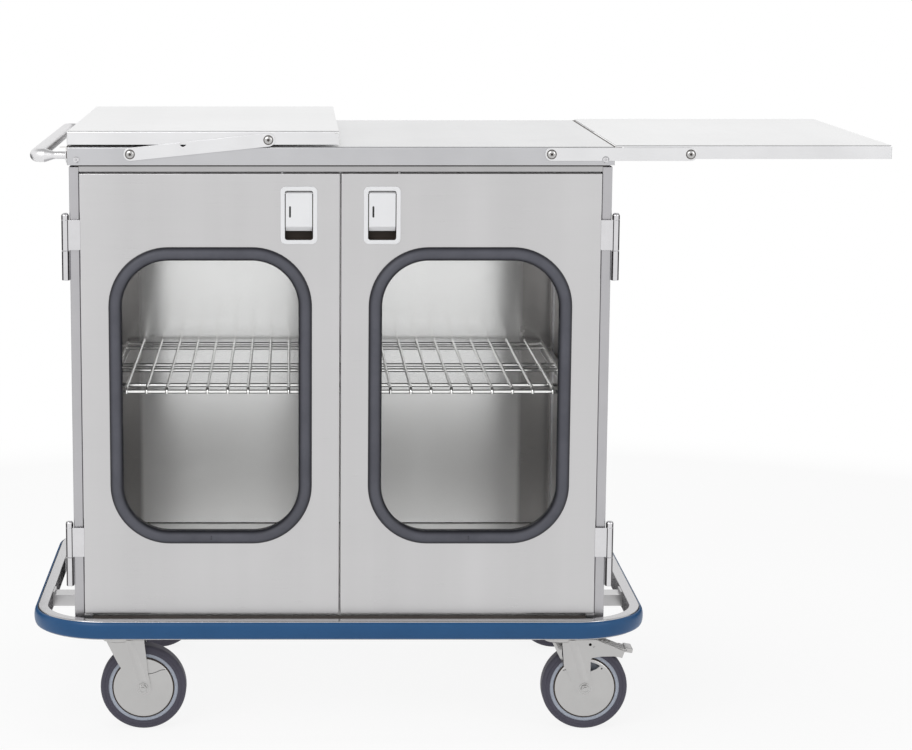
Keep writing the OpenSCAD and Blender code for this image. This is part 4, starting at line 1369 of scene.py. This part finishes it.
@dataclass
class Wing:
    """A folding wing: its sheet, stiffeners, arms and screws. Drawn extended to the right."""

    shop: Shop
    inner: float = 466.0
    length: float = 456.0
    lip: float = 5.3
    back_off: float = 1.1
    high: float = 1026.5
    tall: float = 23.0
    half_y: float = 330.0
    gauge: float = 1.5
    fold: tuple[float, float] = (463.77, 23.9)
    arm: float = 232.5
    arm_w: float = 22.0
    arm_t: float = 3.0
    arm_front: float = -333.5
    notch_r: float = 5.6
    fold_angle: float = 5.9
    ribs: tuple[float, float] = (150.0, 330.0)
    rib_half: float = 20.0
    rib_tall: float = 18.0
    rib_y: float = 318.5
    foot_y: float = 258.5

    def build(self) -> None:
        """Makes both wings; the left one lies folded over the work top."""
        bench, use = self.shop.bench, self.shop.finishes
        for maker, name, slot, finish, node in [
            (self.sheet, "wing_sheet", "top_steel", use.wing, ("wing_top",)),
            (self.stiffeners, "wing_stiffeners", "sheet_steel", use.sheet_y, ("wing_ribs",)),
            (self.feet, "wing_feet", "gasket_rubber", use.foot, ()),
            (self.screws, "wing_pivot_screws", "hardware_steel", use.bolt, ("wing_screws",)),
        ]:
            right = maker("right_" + name)
            left = bench.mirrored(right, "left_" + name)
            if name == "wing_sheet":
                self.trim(left)
            bench.move(left, (self.fold[0], 0, self.fold[1]))
            for side, piece in (("right", right), ("left", left)):
                bench.seat(piece, side + "_wing", slot, finish, *[f"{side}_{n}" for n in node])
        for side in ("right", "left"):
            arms = bench.both(f"{side}_wing_links", self.link(side), 1)
            bench.seat(arms, side + "_arms", "hardware_steel", use.wing, f"{side}_wing_arms")

    def sheet(self, name: str) -> bpy.types.Object:
        """The folded sheet, with a slit at each inner corner."""
        bench = self.shop.bench
        low = (self.inner - self.lip, -self.half_y, self.high - self.tall)
        high = (self.inner + self.length, self.half_y, self.high)
        sheet = folded_top(bench, name, low, high, WorkTop.bend, self.gauge, True)
        slit = bench.block(
            "slit",
            (self.inner - self.lip - 1, -self.half_y - 2, self.high - 4.6),
            (self.inner + 8, self.half_y + 2, self.high - 3),
        )
        return bench.cut(sheet, slit)

    def trim(self, sheet: bpy.types.Object) -> None:
        """Cuts the left sheet's inner end back, so that both wings lie folded side by side."""
        end = -self.inner - self.back_off
        low = (end, -self.half_y - 5, self.high - self.tall - 5)
        high = (end + self.lip + 9, self.half_y + 5, self.high + 5)
        self.shop.bench.cut(sheet, self.shop.bench.block("end", low, high))

    def stiffeners(self, name: str) -> bpy.types.Object:
        """Two hat sections below the sheet."""
        bench = self.shop.bench
        made = []
        out, tall, g = self.rib_half, self.rib_tall, self.gauge
        z = self.high - g
        for x in (self.inner + rib for rib in self.ribs):
            hat = [(x - out, z - tall), (x + out, z - tall), (x + out, z), (x + out - g, z),
                   (x + out - g, z - tall + g), (x - out + g, z - tall + g), (x - out + g, z),
                   (x - out, z)]
            rib = bench.plate("rib", hat, Plane.XZ, -self.rib_y, 2 * self.rib_y)
            made.append(bench.soften(rib, 0.6, 2))
        return bench.join(name, *made)

    def feet(self, name: str) -> bpy.types.Object:
        """Four rubber feet that rest on the work top when the wing is folded."""
        bench = self.shop.bench
        made = []
        below = self.gauge + self.rib_tall
        tall = self.fold[1] + (self.high - WorkTop.high) - below
        for x in self.ribs:
            for y in (-self.foot_y, self.foot_y):
                profile = [(0, 0), (9, 0), (9, -tall + 1.5), (7.6, -tall), (0, -tall)]
                made.append(bench.lathe("foot", profile, 2, (self.inner + x, y, self.high - below), 28))
        return bench.join(name, *made)

    def screws(self, name: str) -> bpy.types.Object:
        """The pivot screws in the wing's aprons."""
        bench, (x, z) = self.shop.bench, WorkTop.pivot
        return bench.both(name, pivot_screw(bench, self.shop.finishes.painted_shade, x + self.arm, z), 1)

    def link(self, side: str) -> bpy.types.Object:
        """The front arm of a wing at its place, with the notch that meets the stop pin."""
        bench = self.shop.bench
        r, cut = self.arm_w / 2, self.notch_r
        pivot_x, pivot_z = WorkTop.pivot
        notch_x, notch_z = WorkTop.stop[0] - pivot_x, WorkTop.stop[1] - pivot_z
        outline = arc(0, 0, r, 270, 90, 16) + arc(self.arm, 0, r, 90, -90, 16)
        outline += [(notch_x + cut, -r), *arc(notch_x, notch_z, cut, 0, 180, 12), (notch_x - cut, -r)]
        if side == "left":
            turn = math.radians(self.fold_angle)
            outline = [
                (x * math.cos(turn) + z * math.sin(turn), x * math.sin(turn) - z * math.cos(turn))
                for x, z in outline
            ]
        at = pivot_x if side == "right" else -pivot_x
        placed = [(x + at, z + pivot_z) for x, z in outline]
        plate = bench.plate("link", placed, Plane.XZ, self.arm_front, self.arm_t)
        return bench.soften(plate, 0.5, 2, 50.0)


@dataclass
class PushHandle:
    """The bent tube at the left end, with tapering legs and flanges."""

    shop: Shop
    x_end: float = -458.5
    x_bar: float = -512.0
    leg_y: float = 305.0
    z: float = 1008.0
    radius: float = 11.8
    bend: float = 14.0

    def build(self) -> None:
        """Makes the handle."""
        bench = self.shop.bench
        x = self.x_bar + self.bend
        ring = arc(0, 0, self.radius, 0, 345, 23)
        section = [(x, -self.leg_y + a, self.z + b) for a, b in ring]
        inner = self.leg_y - self.bend
        tube = bench.trace(
            "tube",
            section,
            [
                Turn((x, -inner, self.z), (0, 0, -1), 90, 12),
                Straight((0, 2 * inner, 0)),
                Turn((x, inner, self.z), (0, 0, -1), 90, 12),
            ],
        )
        long = self.x_end - x
        profile = [(0, 0), (self.radius, 0), (11.0, 3), (9.2, 8), (7.4, 13), (6.6, 16), (6.5, 18),
                   (6.5, long - 4.5), (7.6, long - 3), (12.2, long - 3), (13, long - 2.2), (13, long),
                   (0, long)]
        legs = bench.both("legs", bench.lathe("leg", profile, 0, (x, -self.leg_y, self.z), 32), 1)
        handle = bench.join("push_handle_tube", tube, legs)
        bench.seat(handle, "cart", "tube_steel", self.shop.finishes.tube, "push_handle")


@dataclass
class Bumper:
    """The rail round the cart, its strip and its brackets."""

    shop: Shop
    half_x: float = 528.5
    half_y: float = 361.5
    corner: float = 124.5
    low: float = 182.0
    tall: float = 33.0
    deep: float = 18.0
    gauge: float = 2.0
    strip: float = 5.5

    def build(self) -> None:
        """Makes the rail, the strip and the brackets."""
        bench, use = self.shop.bench, self.shop.finishes
        z0, z1, g = self.low, self.low + self.tall, self.gauge
        r = 2.5
        outer = arc(-r, z0 + r, r, 270, 360, 4) + arc(-r, z1 - r, r, 0, 90, 4)
        channel = outer + [(-self.deep, z1), (-self.deep, z1 - g), (-g - 1, z1 - g), (-g, z1 - g - 1),
                           (-g, z0 + g + 1), (-g - 1, z0 + g), (-self.deep, z0 + g), (-self.deep, z0)]
        bench.seat(self.loop("bumper_rail_channel", channel), "cart", "tube_steel", use.rail,
                   "bumper_rail")
        reach, middle = self.tall / 2 - 2, (z0 + z1) / 2
        crown = [(0.3 + self.strip * math.sin(math.radians(a)) ** 0.8,
                  middle - reach * math.cos(math.radians(a))) for a in range(6, 180, 12)]
        bow = [(0.0, z0 + 2), *crown, (0.0, z1 - 2)]
        bench.seat(self.loop("bumper_guard_strip", bow), "cart", "strip_vinyl", use.vinyl,
                   "bumper_strip")
        bench.seat(self.brackets("bumper_bracket_set"), "cart", "sheet_steel", use.sheet_x,
                   "bumper_brackets")

    def loop(self, name: str, section: Sequence[Point]) -> bpy.types.Object:
        """A section run round the cart; its first coordinate points outwards."""
        start = [(0.0, -self.half_y - u, z) for u, z in section]
        half = (self.half_x - self.corner, self.half_y - self.corner)
        return self.shop.bench.trace(name, start, circuit(Plane.XY, (0, 0), half, 28), closed=True)

    def brackets(self, name: str) -> bpy.types.Object:
        """Bent plates from the side walls to the rail."""
        bench = self.shop.bench
        x0, x1, y, half, low = 456.5, self.half_x - self.deep, 128.0, 20.0, self.low + 5
        arm = bench.block(name, (x0, y - half, low), (x1, y + half, low + 20))
        room = bench.block("room", (x0 + 3, y - half + 3, low - 1), (x1 - 3, y + half - 3, low + 17))
        bench.cut(arm, room)
        wall = bench.block("wall", (x0, y - half, 205), (x0 + 3, y + half, 222))
        tab = bench.block("tab", (x1 - 3, y - half, low), (x1, y + half, low + self.tall - 7))
        bench.fuse(arm, wall, tab)
        return bench.both(name, bench.both("pair", bench.soften(arm, 0.8, 2), 1), 0)


@dataclass
class Shelf:
    """The wire shelf."""

    shop: Shop
    half: float = 401.0
    front: float = -283.0
    deep: float = 556.0
    z: float = 608.0
    wire: float = 2.75
    rod: float = 3.5
    wires: int = 22
    inset: float = 34.5
    rods: tuple[float, ...] = (4.0, 71.0, 230.0, 288.0, 490.0, 544.0)

    def build(self) -> None:
        """Makes the wires, the cross rods and the side rails as one welded piece."""
        bench = self.shop.bench
        pitch = 2 * (self.half - self.inset) / (self.wires - 1)
        first = -self.half + self.inset
        bend, drop = 7.0, 1.5
        level = self.z - self.wire
        foot = level - bend - drop
        ring = arc(0, 0, self.wire, 0, 324, 9)
        section = [(first + a, self.front + b, foot) for a, b in ring]
        wire = bench.trace(
            "wire",
            section,
            [
                Straight((0, 0, drop)),
                Turn((first, self.front + bend, level - bend), (-1, 0, 0), 90, 5),
                Straight((0, self.deep - bend, 0)),
            ],
        )
        made = [wire] + [bench.copy(wire, "wire", (pitch * i, 0, 0)) for i in range(1, self.wires)]
        rod_z = self.z - 2 * self.wire - self.rod + 1
        for y in self.rods:
            centre = (0, self.front + y, rod_z)
            bar = disc(self.rod, 1 - self.half, self.half - 1, 0.4)
            made.append(bench.lathe("rod", bar, 0, centre, 16))
        low = rod_z - self.rod - 5
        for sx in (-1, 1):
            x = sorted((sx * self.half, sx * (self.half - 5)))
            rail = bench.block("rail", (x[0], self.front, low), (x[1], self.front + self.deep, low + 12))
            made.append(bench.soften(rail, 0.8, 2))
        shelf = bench.join("shelf_wires", *made)
        # Painted shade and reflection: the wires' outer sides and the undersides are near-black.
        bench.paint(
            shelf,
            self.shop.finishes.knuckle,
            lambda c, n: math.copysign(n.x, c.x * n.x) > 0.7 or n.z < -0.8,
        )
        bench.seat(shelf, "cart", "tube_steel", self.shop.finishes.wire, "wire_shelf", crease=45.0)


@dataclass
class Caster:
    """A swivel caster, drawn with its swivel axis at the cart's middle and copied to its places."""

    shop: Shop
    x: float = 386.0
    y: float = 266.0
    trail: float = 44.0
    wheel: float = 75.0
    core: float = 60.7
    half_w: float = 16.0
    fork_in: float = 19.0
    leg: float = 4.0
    crown: float = 158.0
    guard: float = 52.5
    pin: tuple[float, float] = (8.0, 154.0)
    tread_turn: float = 10.0
    plate_half: tuple[float, float] = (50.0, 42.5)
    plate_z: tuple[float, float] = (185.0, 190.0)
    race_z: float = 175.0
    bolt_at: tuple[float, float] = (37.0, 30.0)
    bolt_tall: float = 5.0

    def build(self) -> None:
        """Makes the pieces once, copies them and sets them on their bodies."""
        bench, use = self.shop.bench, self.shop.finishes
        plain, braked = self.fork("fork_plain", False), self.fork("fork_braked", True)
        shapes = {
            "guards": self.guards("guards", False),
            "open_guards": self.guards("open_guards", True),
            "hub": self.hub("hub"),
            "tyre": self.tyre("tyre"),
            "lever": self.lever("lever"),
        }
        for front, sy in (("front", -1), ("rear", 1)):
            for side, sx in (("left", -1), ("right", 1)):
                name = f"{front}_{side}"
                step = (sx * self.x, sy * self.y, 0)
                rows = [
                    (braked if sx > 0 else plain, "fork_legs", "swivel", "fork", use.caster,
                     "hardware_steel"),
                    (shapes["open_guards" if sx > 0 else "guards"], "axle_and_guards", "swivel", "axle",
                     use.caster, "hardware_steel"),
                    (shapes["hub"], "wheel_hub", "wheel", "core", use.core, "wheel_core"),
                    (shapes["tyre"], "wheel_tyre", "wheel", "tyre", use.tyre, "tyre_rubber"),
                ]
                if sx > 0:
                    rows.append((shapes["lever"], "brake_lever", "brake", "pedal", use.caster,
                                 "hardware_steel"))
                for shape, piece, body, node, finish, slot in rows:
                    made = bench.copy(shape, f"{name}_{piece}", step)
                    bench.seat(made, f"{name}_{body}", slot, finish, f"{name}_{node}")
        for shape in [plain, braked, *shapes.values()]:
            bpy.data.objects.remove(shape)
        self.heads()

    def fork(self, name: str, braked: bool) -> bpy.types.Object:
        """Two pressed legs, the crown that joins them and the swivel head."""
        bench = self.shop.bench
        t, w, top = self.trail, self.wheel, self.crown + 4
        high = top - w
        outer = self.fork_in + self.leg
        eye = arc(0, 0, 14.2, 205, 345, 14)
        if braked:
            shape = [(-41, high), (-37.3, 40.4), (-29.9, 28.3), (-23.1, 12.1), (-15.5, 0), *eye,
                     (13.2, 5.4), (11.5, 15), (9.2, 23), (9.2, 52), (12, 55), (28, 57.5), (50, 57.8),
                     (60, 56), (64, 54.5), (68.4, 66.6), (19, high)]
            crease = [(-41, high), (-41, 62), (-37.3, 40.4)]
            rim = [(-48.7, 63.3), (-60, high)]
        else:
            shape = [(-46, high), (-46, 62), (-41.8, 42), (-36.4, 34), (-20.3, 10), (-13.7, -0.7), *eye,
                     (13.9, 0), (13.1, 7.4), (9.1, 26), (6.4, 54), (2.4, high)]
            crease = [(-46, high), (-46, 62), (-41.8, 42)]
            rim = [(-51, 58), (-65, high)]
        side = bench.plate("leg", [(t + a, w + b) for a, b in shape], Plane.XZ, self.fork_in, self.leg)
        flank = [(t + a, outer, w + b) for a, b in crease] + [(t + a, outer - 4.5, w + b) for a, b in rim]
        wing = bench.ring("flank", flank, True)
        bench.thicken(wing, (0, -3.5, 0))
        swell = [(t - 34 + 22 * i / 12, outer - 0.8 + 3.6 * math.sin(math.pi * i / 12) ** 2, w + high)
                 for i in range(13)]
        ridge = bench.trace("ridge", swell, [Straight((22, 0, 14 - high))])
        bench.fuse(side, wing, ridge)
        if braked:
            hole = bench.lathe("hole", disc(2.0, -2, 3, 0.2), 1, (t + 13.9, outer, w + 76), 16)
            bench.cut(side, hole)
        bench.soften(side, 0.8, 3, 40.0)
        bench.paint(side, self.shop.finishes.bolt,
                    lambda c, n: abs(n.y) < 0.6 and c.z < self.crown and c.y < outer - 0.7)
        legs = bench.both("legs", side, 1)
        crown = bench.block(
            "crown", (-16, -self.fork_in - 1, self.crown), (t + 2, self.fork_in + 1, top)
        )
        bench.soften(crown, 0.8, 2)
        profile = [(0, 0), (26.5, 0), (28, 1.5), (28, 9.0), (26.5, 10.8), (22, 11.6), (8, 11.6),
                   (8, 19.5), (0, 19.5)]
        head = bench.lathe("head", profile, 2, (0, 0, self.crown), 48)
        return bench.join(name, legs, crown, head)

    def guards(self, name: str, opened: bool) -> bpy.types.Object:
        """The dished thread guards, the axle and its nuts, with a dark ring behind each guard's edge as
        painted shade.

        Args:
            name: The piece's name.
            opened: Whether the guard has the brake's opening, or a pressed line in its place.

        Returns:
            Both guards on the axle.
        """
        bench, dark = self.shop.bench, self.shop.finishes.cup
        t, w, outer = self.trail, self.wheel, self.fork_in + self.leg
        r = self.guard
        profile = [(5, 0), (17, 0), (20, -0.4), (r - 4, -1.3), (r - 1.2, -1.9), (r, -3.0), (r - 0.8, -3.4),
                   (r - 2.2, -2.6), (r - 5, -2.2), (20, -1.4), (5, -1.2)]
        guard = bench.lathe("guard", profile, 1, (t, self.fork_in, w), 72)
        if opened:
            gap = [(6, 27), (10.5, 29.6), (20, 33.6), (26.6, 39), *arc(0, 0, 47.3, 56, 82, 8), (4, 46)]
            spots = [[(-38, 30.6), (-32.5, 32.2), (-32.8, 33.4), (-38.4, 31.8)],
                     arc(29.3, 34.3, 1.5, 0, 330, 11)]
        else:
            line = [(7, 24.3), (15.8, 25.4), (23.8, 28.1), (31, 31.2), (37.2, 32.1), (41.5, 31.6)]
            gap = []
            spots = [line + [(a, b + 1.1) for a, b in reversed(line)]]
        for hole in ([gap] if gap else []) + spots:
            placed = [(t + a, w + b) for a, b in hole]
            deep = 8.0 if hole is gap else 3.6
            bench.cut(guard, bench.plate("hole", placed, Plane.XZ, self.fork_in + 1 - deep, deep))
        # Painted shade: a dark ring behind the guard's edge, in the gap to the wheel.
        ring = [(r - 0.2, -2.4), (r + 1.9, -3.6), (r + 1.9, -5.0), (r - 3, -5.0), (r - 3, -3.4)]
        rim = bench.lathe("rim", ring, 1, (t, self.fork_in, w), 72)
        bench.paint(rim, dark, lambda c, n: True)
        nut = bench.plate("nut", hexagon(t, w, 7.6, 12), Plane.XZ, outer + 1.2, 5.0)
        bench.soften(nut, 0.9, 2)
        washer = bench.lathe("washer", disc(10.2, outer, outer + 1.2, 0.3), 1, (t, 0, w), 32)
        bench.paint(washer, self.shop.finishes.bolt, lambda c, n: True)
        axle = [(0, 0), (4.6, 0), (4.6, outer + 7), (3.6, outer + 8), (0, outer + 8)]
        end = bench.lathe("end", axle, 1, (t, 0, w), 24)
        bench.paint(end, self.shop.finishes.bolt, lambda c, n: c.y > outer)
        return bench.both(name, bench.join("one", guard, rim, nut, washer, end), 1)

    def hub(self, name: str) -> bpy.types.Object:
        """The wheel's core: hub, thin web and rim."""
        bench = self.shop.bench
        r, w = self.core, self.half_w
        half = [(5.1, w), (16.4, w), (17, w - 0.6), (20, 5), (r - 12, 5), (r - 7.2, w - 6),
                (r - 6.6, w - 2.4), (r - 6.2, w - 2), (r, w - 2)]
        profile = half + [(a, -b) for a, b in reversed(half)]
        return bench.lathe(name, profile, 1, (self.trail, 0, self.wheel), 72)

    def tyre(self, name: str) -> bpy.types.Object:
        """The tyre, with round shoulders and a fine line where its tread meets its side."""
        bench = self.shop.bench
        r, w, s = self.wheel, self.half_w, 6.0
        side = [(self.core, w), (r - s - 2.2, w), (r - s - 1.8, w - 0.35), (r - s - 1.4, w)]
        side += arc(r - s, w - s, s, 90, 0, 7)
        profile = side + [(a, -b) for a, b in reversed(side)]
        return bench.lathe(name, profile, 1, (self.trail, 0, self.wheel), 96)

    def lever(self, name: str) -> bpy.types.Object:
        """The brake's foot lever on its pin, with a studded tread."""
        bench = self.shop.bench
        t, (px, pz) = self.trail, self.pin
        half = self.fork_in - 1
        plate = bench.block("tread", (t + px, -half, pz - 1.5), (t + px + 66, half, pz + 1.5))
        pad = bench.block("pad", (t + px + 62, -half, pz - 4), (t + px + 76, half, pz + 4))
        made = [bench.soften(plate, 0.6, 2), bench.soften(pad, 1.6, 3)]
        for i in range(6):
            for j in range(5):
                at = (t + px + 16 + 8 * i + 4 * (j % 2), (j - 2) * 7.0, pz + 1.2)
                made.append(bench.lathe("stud", [(0, 0), (2.6, 0), (2.3, 1.0), (0, 1.5)], 2, at, 10))
        tread = bench.join(name, *made)
        bench.activate(tread)
        bpy.ops.object.mode_set(mode="EDIT")
        bpy.ops.mesh.select_all(action="SELECT")
        bpy.ops.transform.rotate(
            value=-math.radians(self.tread_turn),
            orient_axis="Y",
            center_override=bench.world((t + px, 0, pz)),
        )
        bpy.ops.object.mode_set(mode="OBJECT")
        reach = self.fork_in + self.leg
        pin = bench.lathe("pin", disc(3.0, -reach, reach, 0.4), 1, (t + px, 0, pz), 20)
        return bench.join(name, tread, pin)

    def heads(self) -> None:
        """The fixed plates, their bearing races and bolts."""
        bench = self.shop.bench
        made = []
        (long, wide), (low, high) = self.plate_half, self.plate_z
        race = [(8.1, 0), (28.5, 0), (30, 1.2), (30, 8.5), (31.5, 10), (8.1, 10)]
        signs = [(sx, sy) for sx in (-1, 1) for sy in (-1, 1)]
        for x, y in [(sx * self.x, sy * self.y) for sx, sy in signs]:
            plate = bench.block("plate", (x - long, y - wide, low), (x + long, y + wide, high))
            bench.round_edges(plate, lambda a, b: abs(a.z - b.z) > 1, 6.0, 4)
            made.append(bench.soften(plate, 0.7, 2, 50.0))
            made.append(bench.lathe("race", race, 2, (x, y, self.race_z), 48))
            for sx, sy in signs:
                head = hexagon(x + sx * self.bolt_at[0], y + sy * self.bolt_at[1], 6.5)
                bolt = bench.plate("bolt", head, Plane.XY, low - self.bolt_tall, self.bolt_tall)
                made.append(bench.soften(bolt, 0.5, 2))
        heads = bench.join("caster_heads", *made)
        bench.seat(heads, "cart", "hardware_steel", self.shop.finishes.caster, "caster_plates")


# Kept nodes


def dress_nodes(frame: dict[str, Any], use: Finishes) -> None:
    """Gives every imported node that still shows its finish.

    Args:
        use: The finishes.
    """
    # Painted light among these: roof_pan's darker steel is painted shade under the top, top_stiffener's
    # dark finish is painted shade in the gap, back_wall's inside is painted paler with painted shade at
    # its ends, and the door liners are painted paler, standing in for light.
    rows = {
        "back_wall": use.back, "roof_pan": use.header, "floor_pan": use.base,
        "base_frame": use.sheet_y, "top_stiffener": use.painted_shade, "end_blades": use.lining,
        "pilasters": use.sheet_z, "shelf_supports": use.sheet_y, "left_door_liner": use.liner,
        "right_door_liner": use.liner, "left_window_pane": use.glass, "right_window_pane": use.glass,
        "left_latch_pawl": use.hardware, "right_latch_pawl": use.hardware,
    }
    for name, obj in frame["nodes"].items():
        if obj.hide_render:
            continue
        finish = rows.get(name, use.sheet_x)
        for slot in obj.material_slots:
            slot.material = finish.material()
        log.info("%s keeps its mesh: %s", name, finish.name)


# Studio


@dataclass
class Studio:
    """Camera, floor, backdrop and lamps."""

    finishes: Finishes
    middle: float
    camera_at: tuple[float, float, float] = (-80.0, -4663.0, 1360.0)
    pitch: float = 9.47
    focal: float = 2590.0
    frame_w: float = 912.0
    principal_x: float = 293.0
    screens: tuple[tuple[float, float, float, float], ...] = (
        (114.0, 1.15, 1.0, 0.03),
        (141.0, 1.15, 1.0, 0.03),
    )
    screen_far: float = 2.3
    floor_size: float = 24.0
    ceiling: float = 0.5
    bounces: int = 10

    def camera(self) -> None:
        """The camera at the photograph's place and angle."""
        data = bpy.data.cameras.new("camera")
        data.sensor_width = 36.0
        data.lens = self.focal * data.sensor_width / self.frame_w
        data.shift_x = (self.frame_w / 2 - self.principal_x) / self.frame_w
        data.clip_end = 200.0
        camera = bpy.data.objects.new("camera", data)
        bpy.context.scene.collection.objects.link(camera)
        camera.location = Vector(self.camera_at) * MM + Vector((self.middle, 0, 0))
        camera.rotation_euler = (math.radians(90 - self.pitch), 0, 0)
        bpy.context.scene.camera = camera

    def floor(self) -> None:
        """A wide floor that fades to white."""
        bpy.ops.object.select_all(action="DESELECT")
        bpy.ops.mesh.primitive_plane_add(size=self.floor_size, location=(0, 0, 0))
        floor = bpy.context.object
        floor.name = "studio_floor"
        material = self.finishes.floor.material()
        material.cycles.emission_sampling = "NONE"
        floor.data.materials.append(material)

    def backdrop(self) -> None:
        """A white world that lights softly; metal sees a greyer ceiling in it, as in a studio."""
        world = bpy.data.worlds.new("studio")
        bpy.context.scene.world = world
        tree = Tree(world)
        where = tree.add("ShaderNodeTexCoord", output="Generated")
        height = tree.add("ShaderNodeSeparateXYZ", {}, {0: where}, "Z")
        metal = tree.add("ShaderNodeLightPath", output="Is Glossy Ray")
        tone = tree.blend(height.ramp(0.55, 0.88) * metal, grey(1.0), grey(self.ceiling))
        white = tree.add("ShaderNodeBackground", {}, {"Color": tone, "Strength": 1.0})
        soft = tree.add("ShaderNodeBackground", {}, {"Color": grey(1.0), "Strength": 0.45})
        tree.surface(tree.mix(seen_rays(tree), soft, white), "ShaderNodeOutputWorld")

    def set_screens(self) -> None:
        """Upright screens that only reflections see, as in a studio.

        They give curved metal its dark edges. Each row has a screen's angle from the front, its width,
        its height and its brightness.
        """
        for number, (turn, wide, high, bright) in enumerate(self.screens):
            material = bpy.data.materials.new(f"studio_screen_{number}")
            tree = Tree(material)
            tree.surface(tree.glow(bright))
            material.cycles.emission_sampling = "NONE"
            for side in (-1, 1):
                angle = math.radians(side * turn - 90)
                x, y = self.screen_far * math.cos(angle), self.screen_far * math.sin(angle)
                bpy.ops.object.select_all(action="DESELECT")
                bpy.ops.mesh.primitive_plane_add(
                    size=1,
                    location=(x, y, high / 2),
                    rotation=(math.radians(90), 0, angle + math.pi / 2),
                )
                screen = bpy.context.object
                screen.name = f"studio_screen_{number}_{side}"
                screen.scale = (wide, high, 1)
                bpy.ops.object.transform_apply(location=True, rotation=True, scale=True)
                screen.data.materials.append(material)
                for rays in ("camera", "diffuse", "transmission", "shadow", "volume_scatter"):
                    setattr(screen, "visible_" + rays, False)

    def lamps(self) -> None:
        """Three large soft boxes."""
        for name, place, size, power in [
            ("key", (-2.4, -3.6, 3.4), (3.0, 2.2), 75.0),
            ("fill", (3.4, -3.4, 2.6), (1.6, 2.2), 26.0),
            ("overhead", (0.0, 0.2, 4.2), (4.0, 2.6), 60.0),
        ]:
            data = bpy.data.lights.new(name, "AREA")
            data.shape, data.size, data.size_y, data.energy = "RECTANGLE", size[0], size[1], power
            lamp = bpy.data.objects.new(name, data)
            bpy.context.scene.collection.objects.link(lamp)
            lamp.visible_camera = False
            lamp.visible_glossy = name != "overhead"
            lamp.location = place
            aim = Vector((0, 0, 0.6)) - Vector(place)
            lamp.rotation_euler = aim.to_track_quat("-Z", "Y").to_euler()

    def build(self) -> None:
        """Sets everything up."""
        self.camera()
        self.floor()
        self.backdrop()
        self.set_screens()
        self.lamps()
        scene = bpy.context.scene
        scene.view_settings.view_transform = "Standard"
        scene.cycles.glossy_bounces = self.bounces
        scene.cycles.transparent_max_bounces = 2 * self.bounces


def main() -> None:
    """Builds the cart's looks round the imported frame."""
    logging.basicConfig(level=logging.INFO, format="%(message)s", stream=sys.stdout)
    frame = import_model()
    low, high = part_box("main_top")
    middle = (low.x + high.x) / 2
    finishes = Finishes()
    Studio(finishes, middle).build()
    shop = Shop(Bench(middle), finishes)
    for part in (Cabinet, Hinges, Door, WorkTop, Wing, PushHandle, Bumper, Shelf, Caster):
        part(shop).build()
    dress_nodes(frame, finishes)


if __name__ == "__main__":
    main()
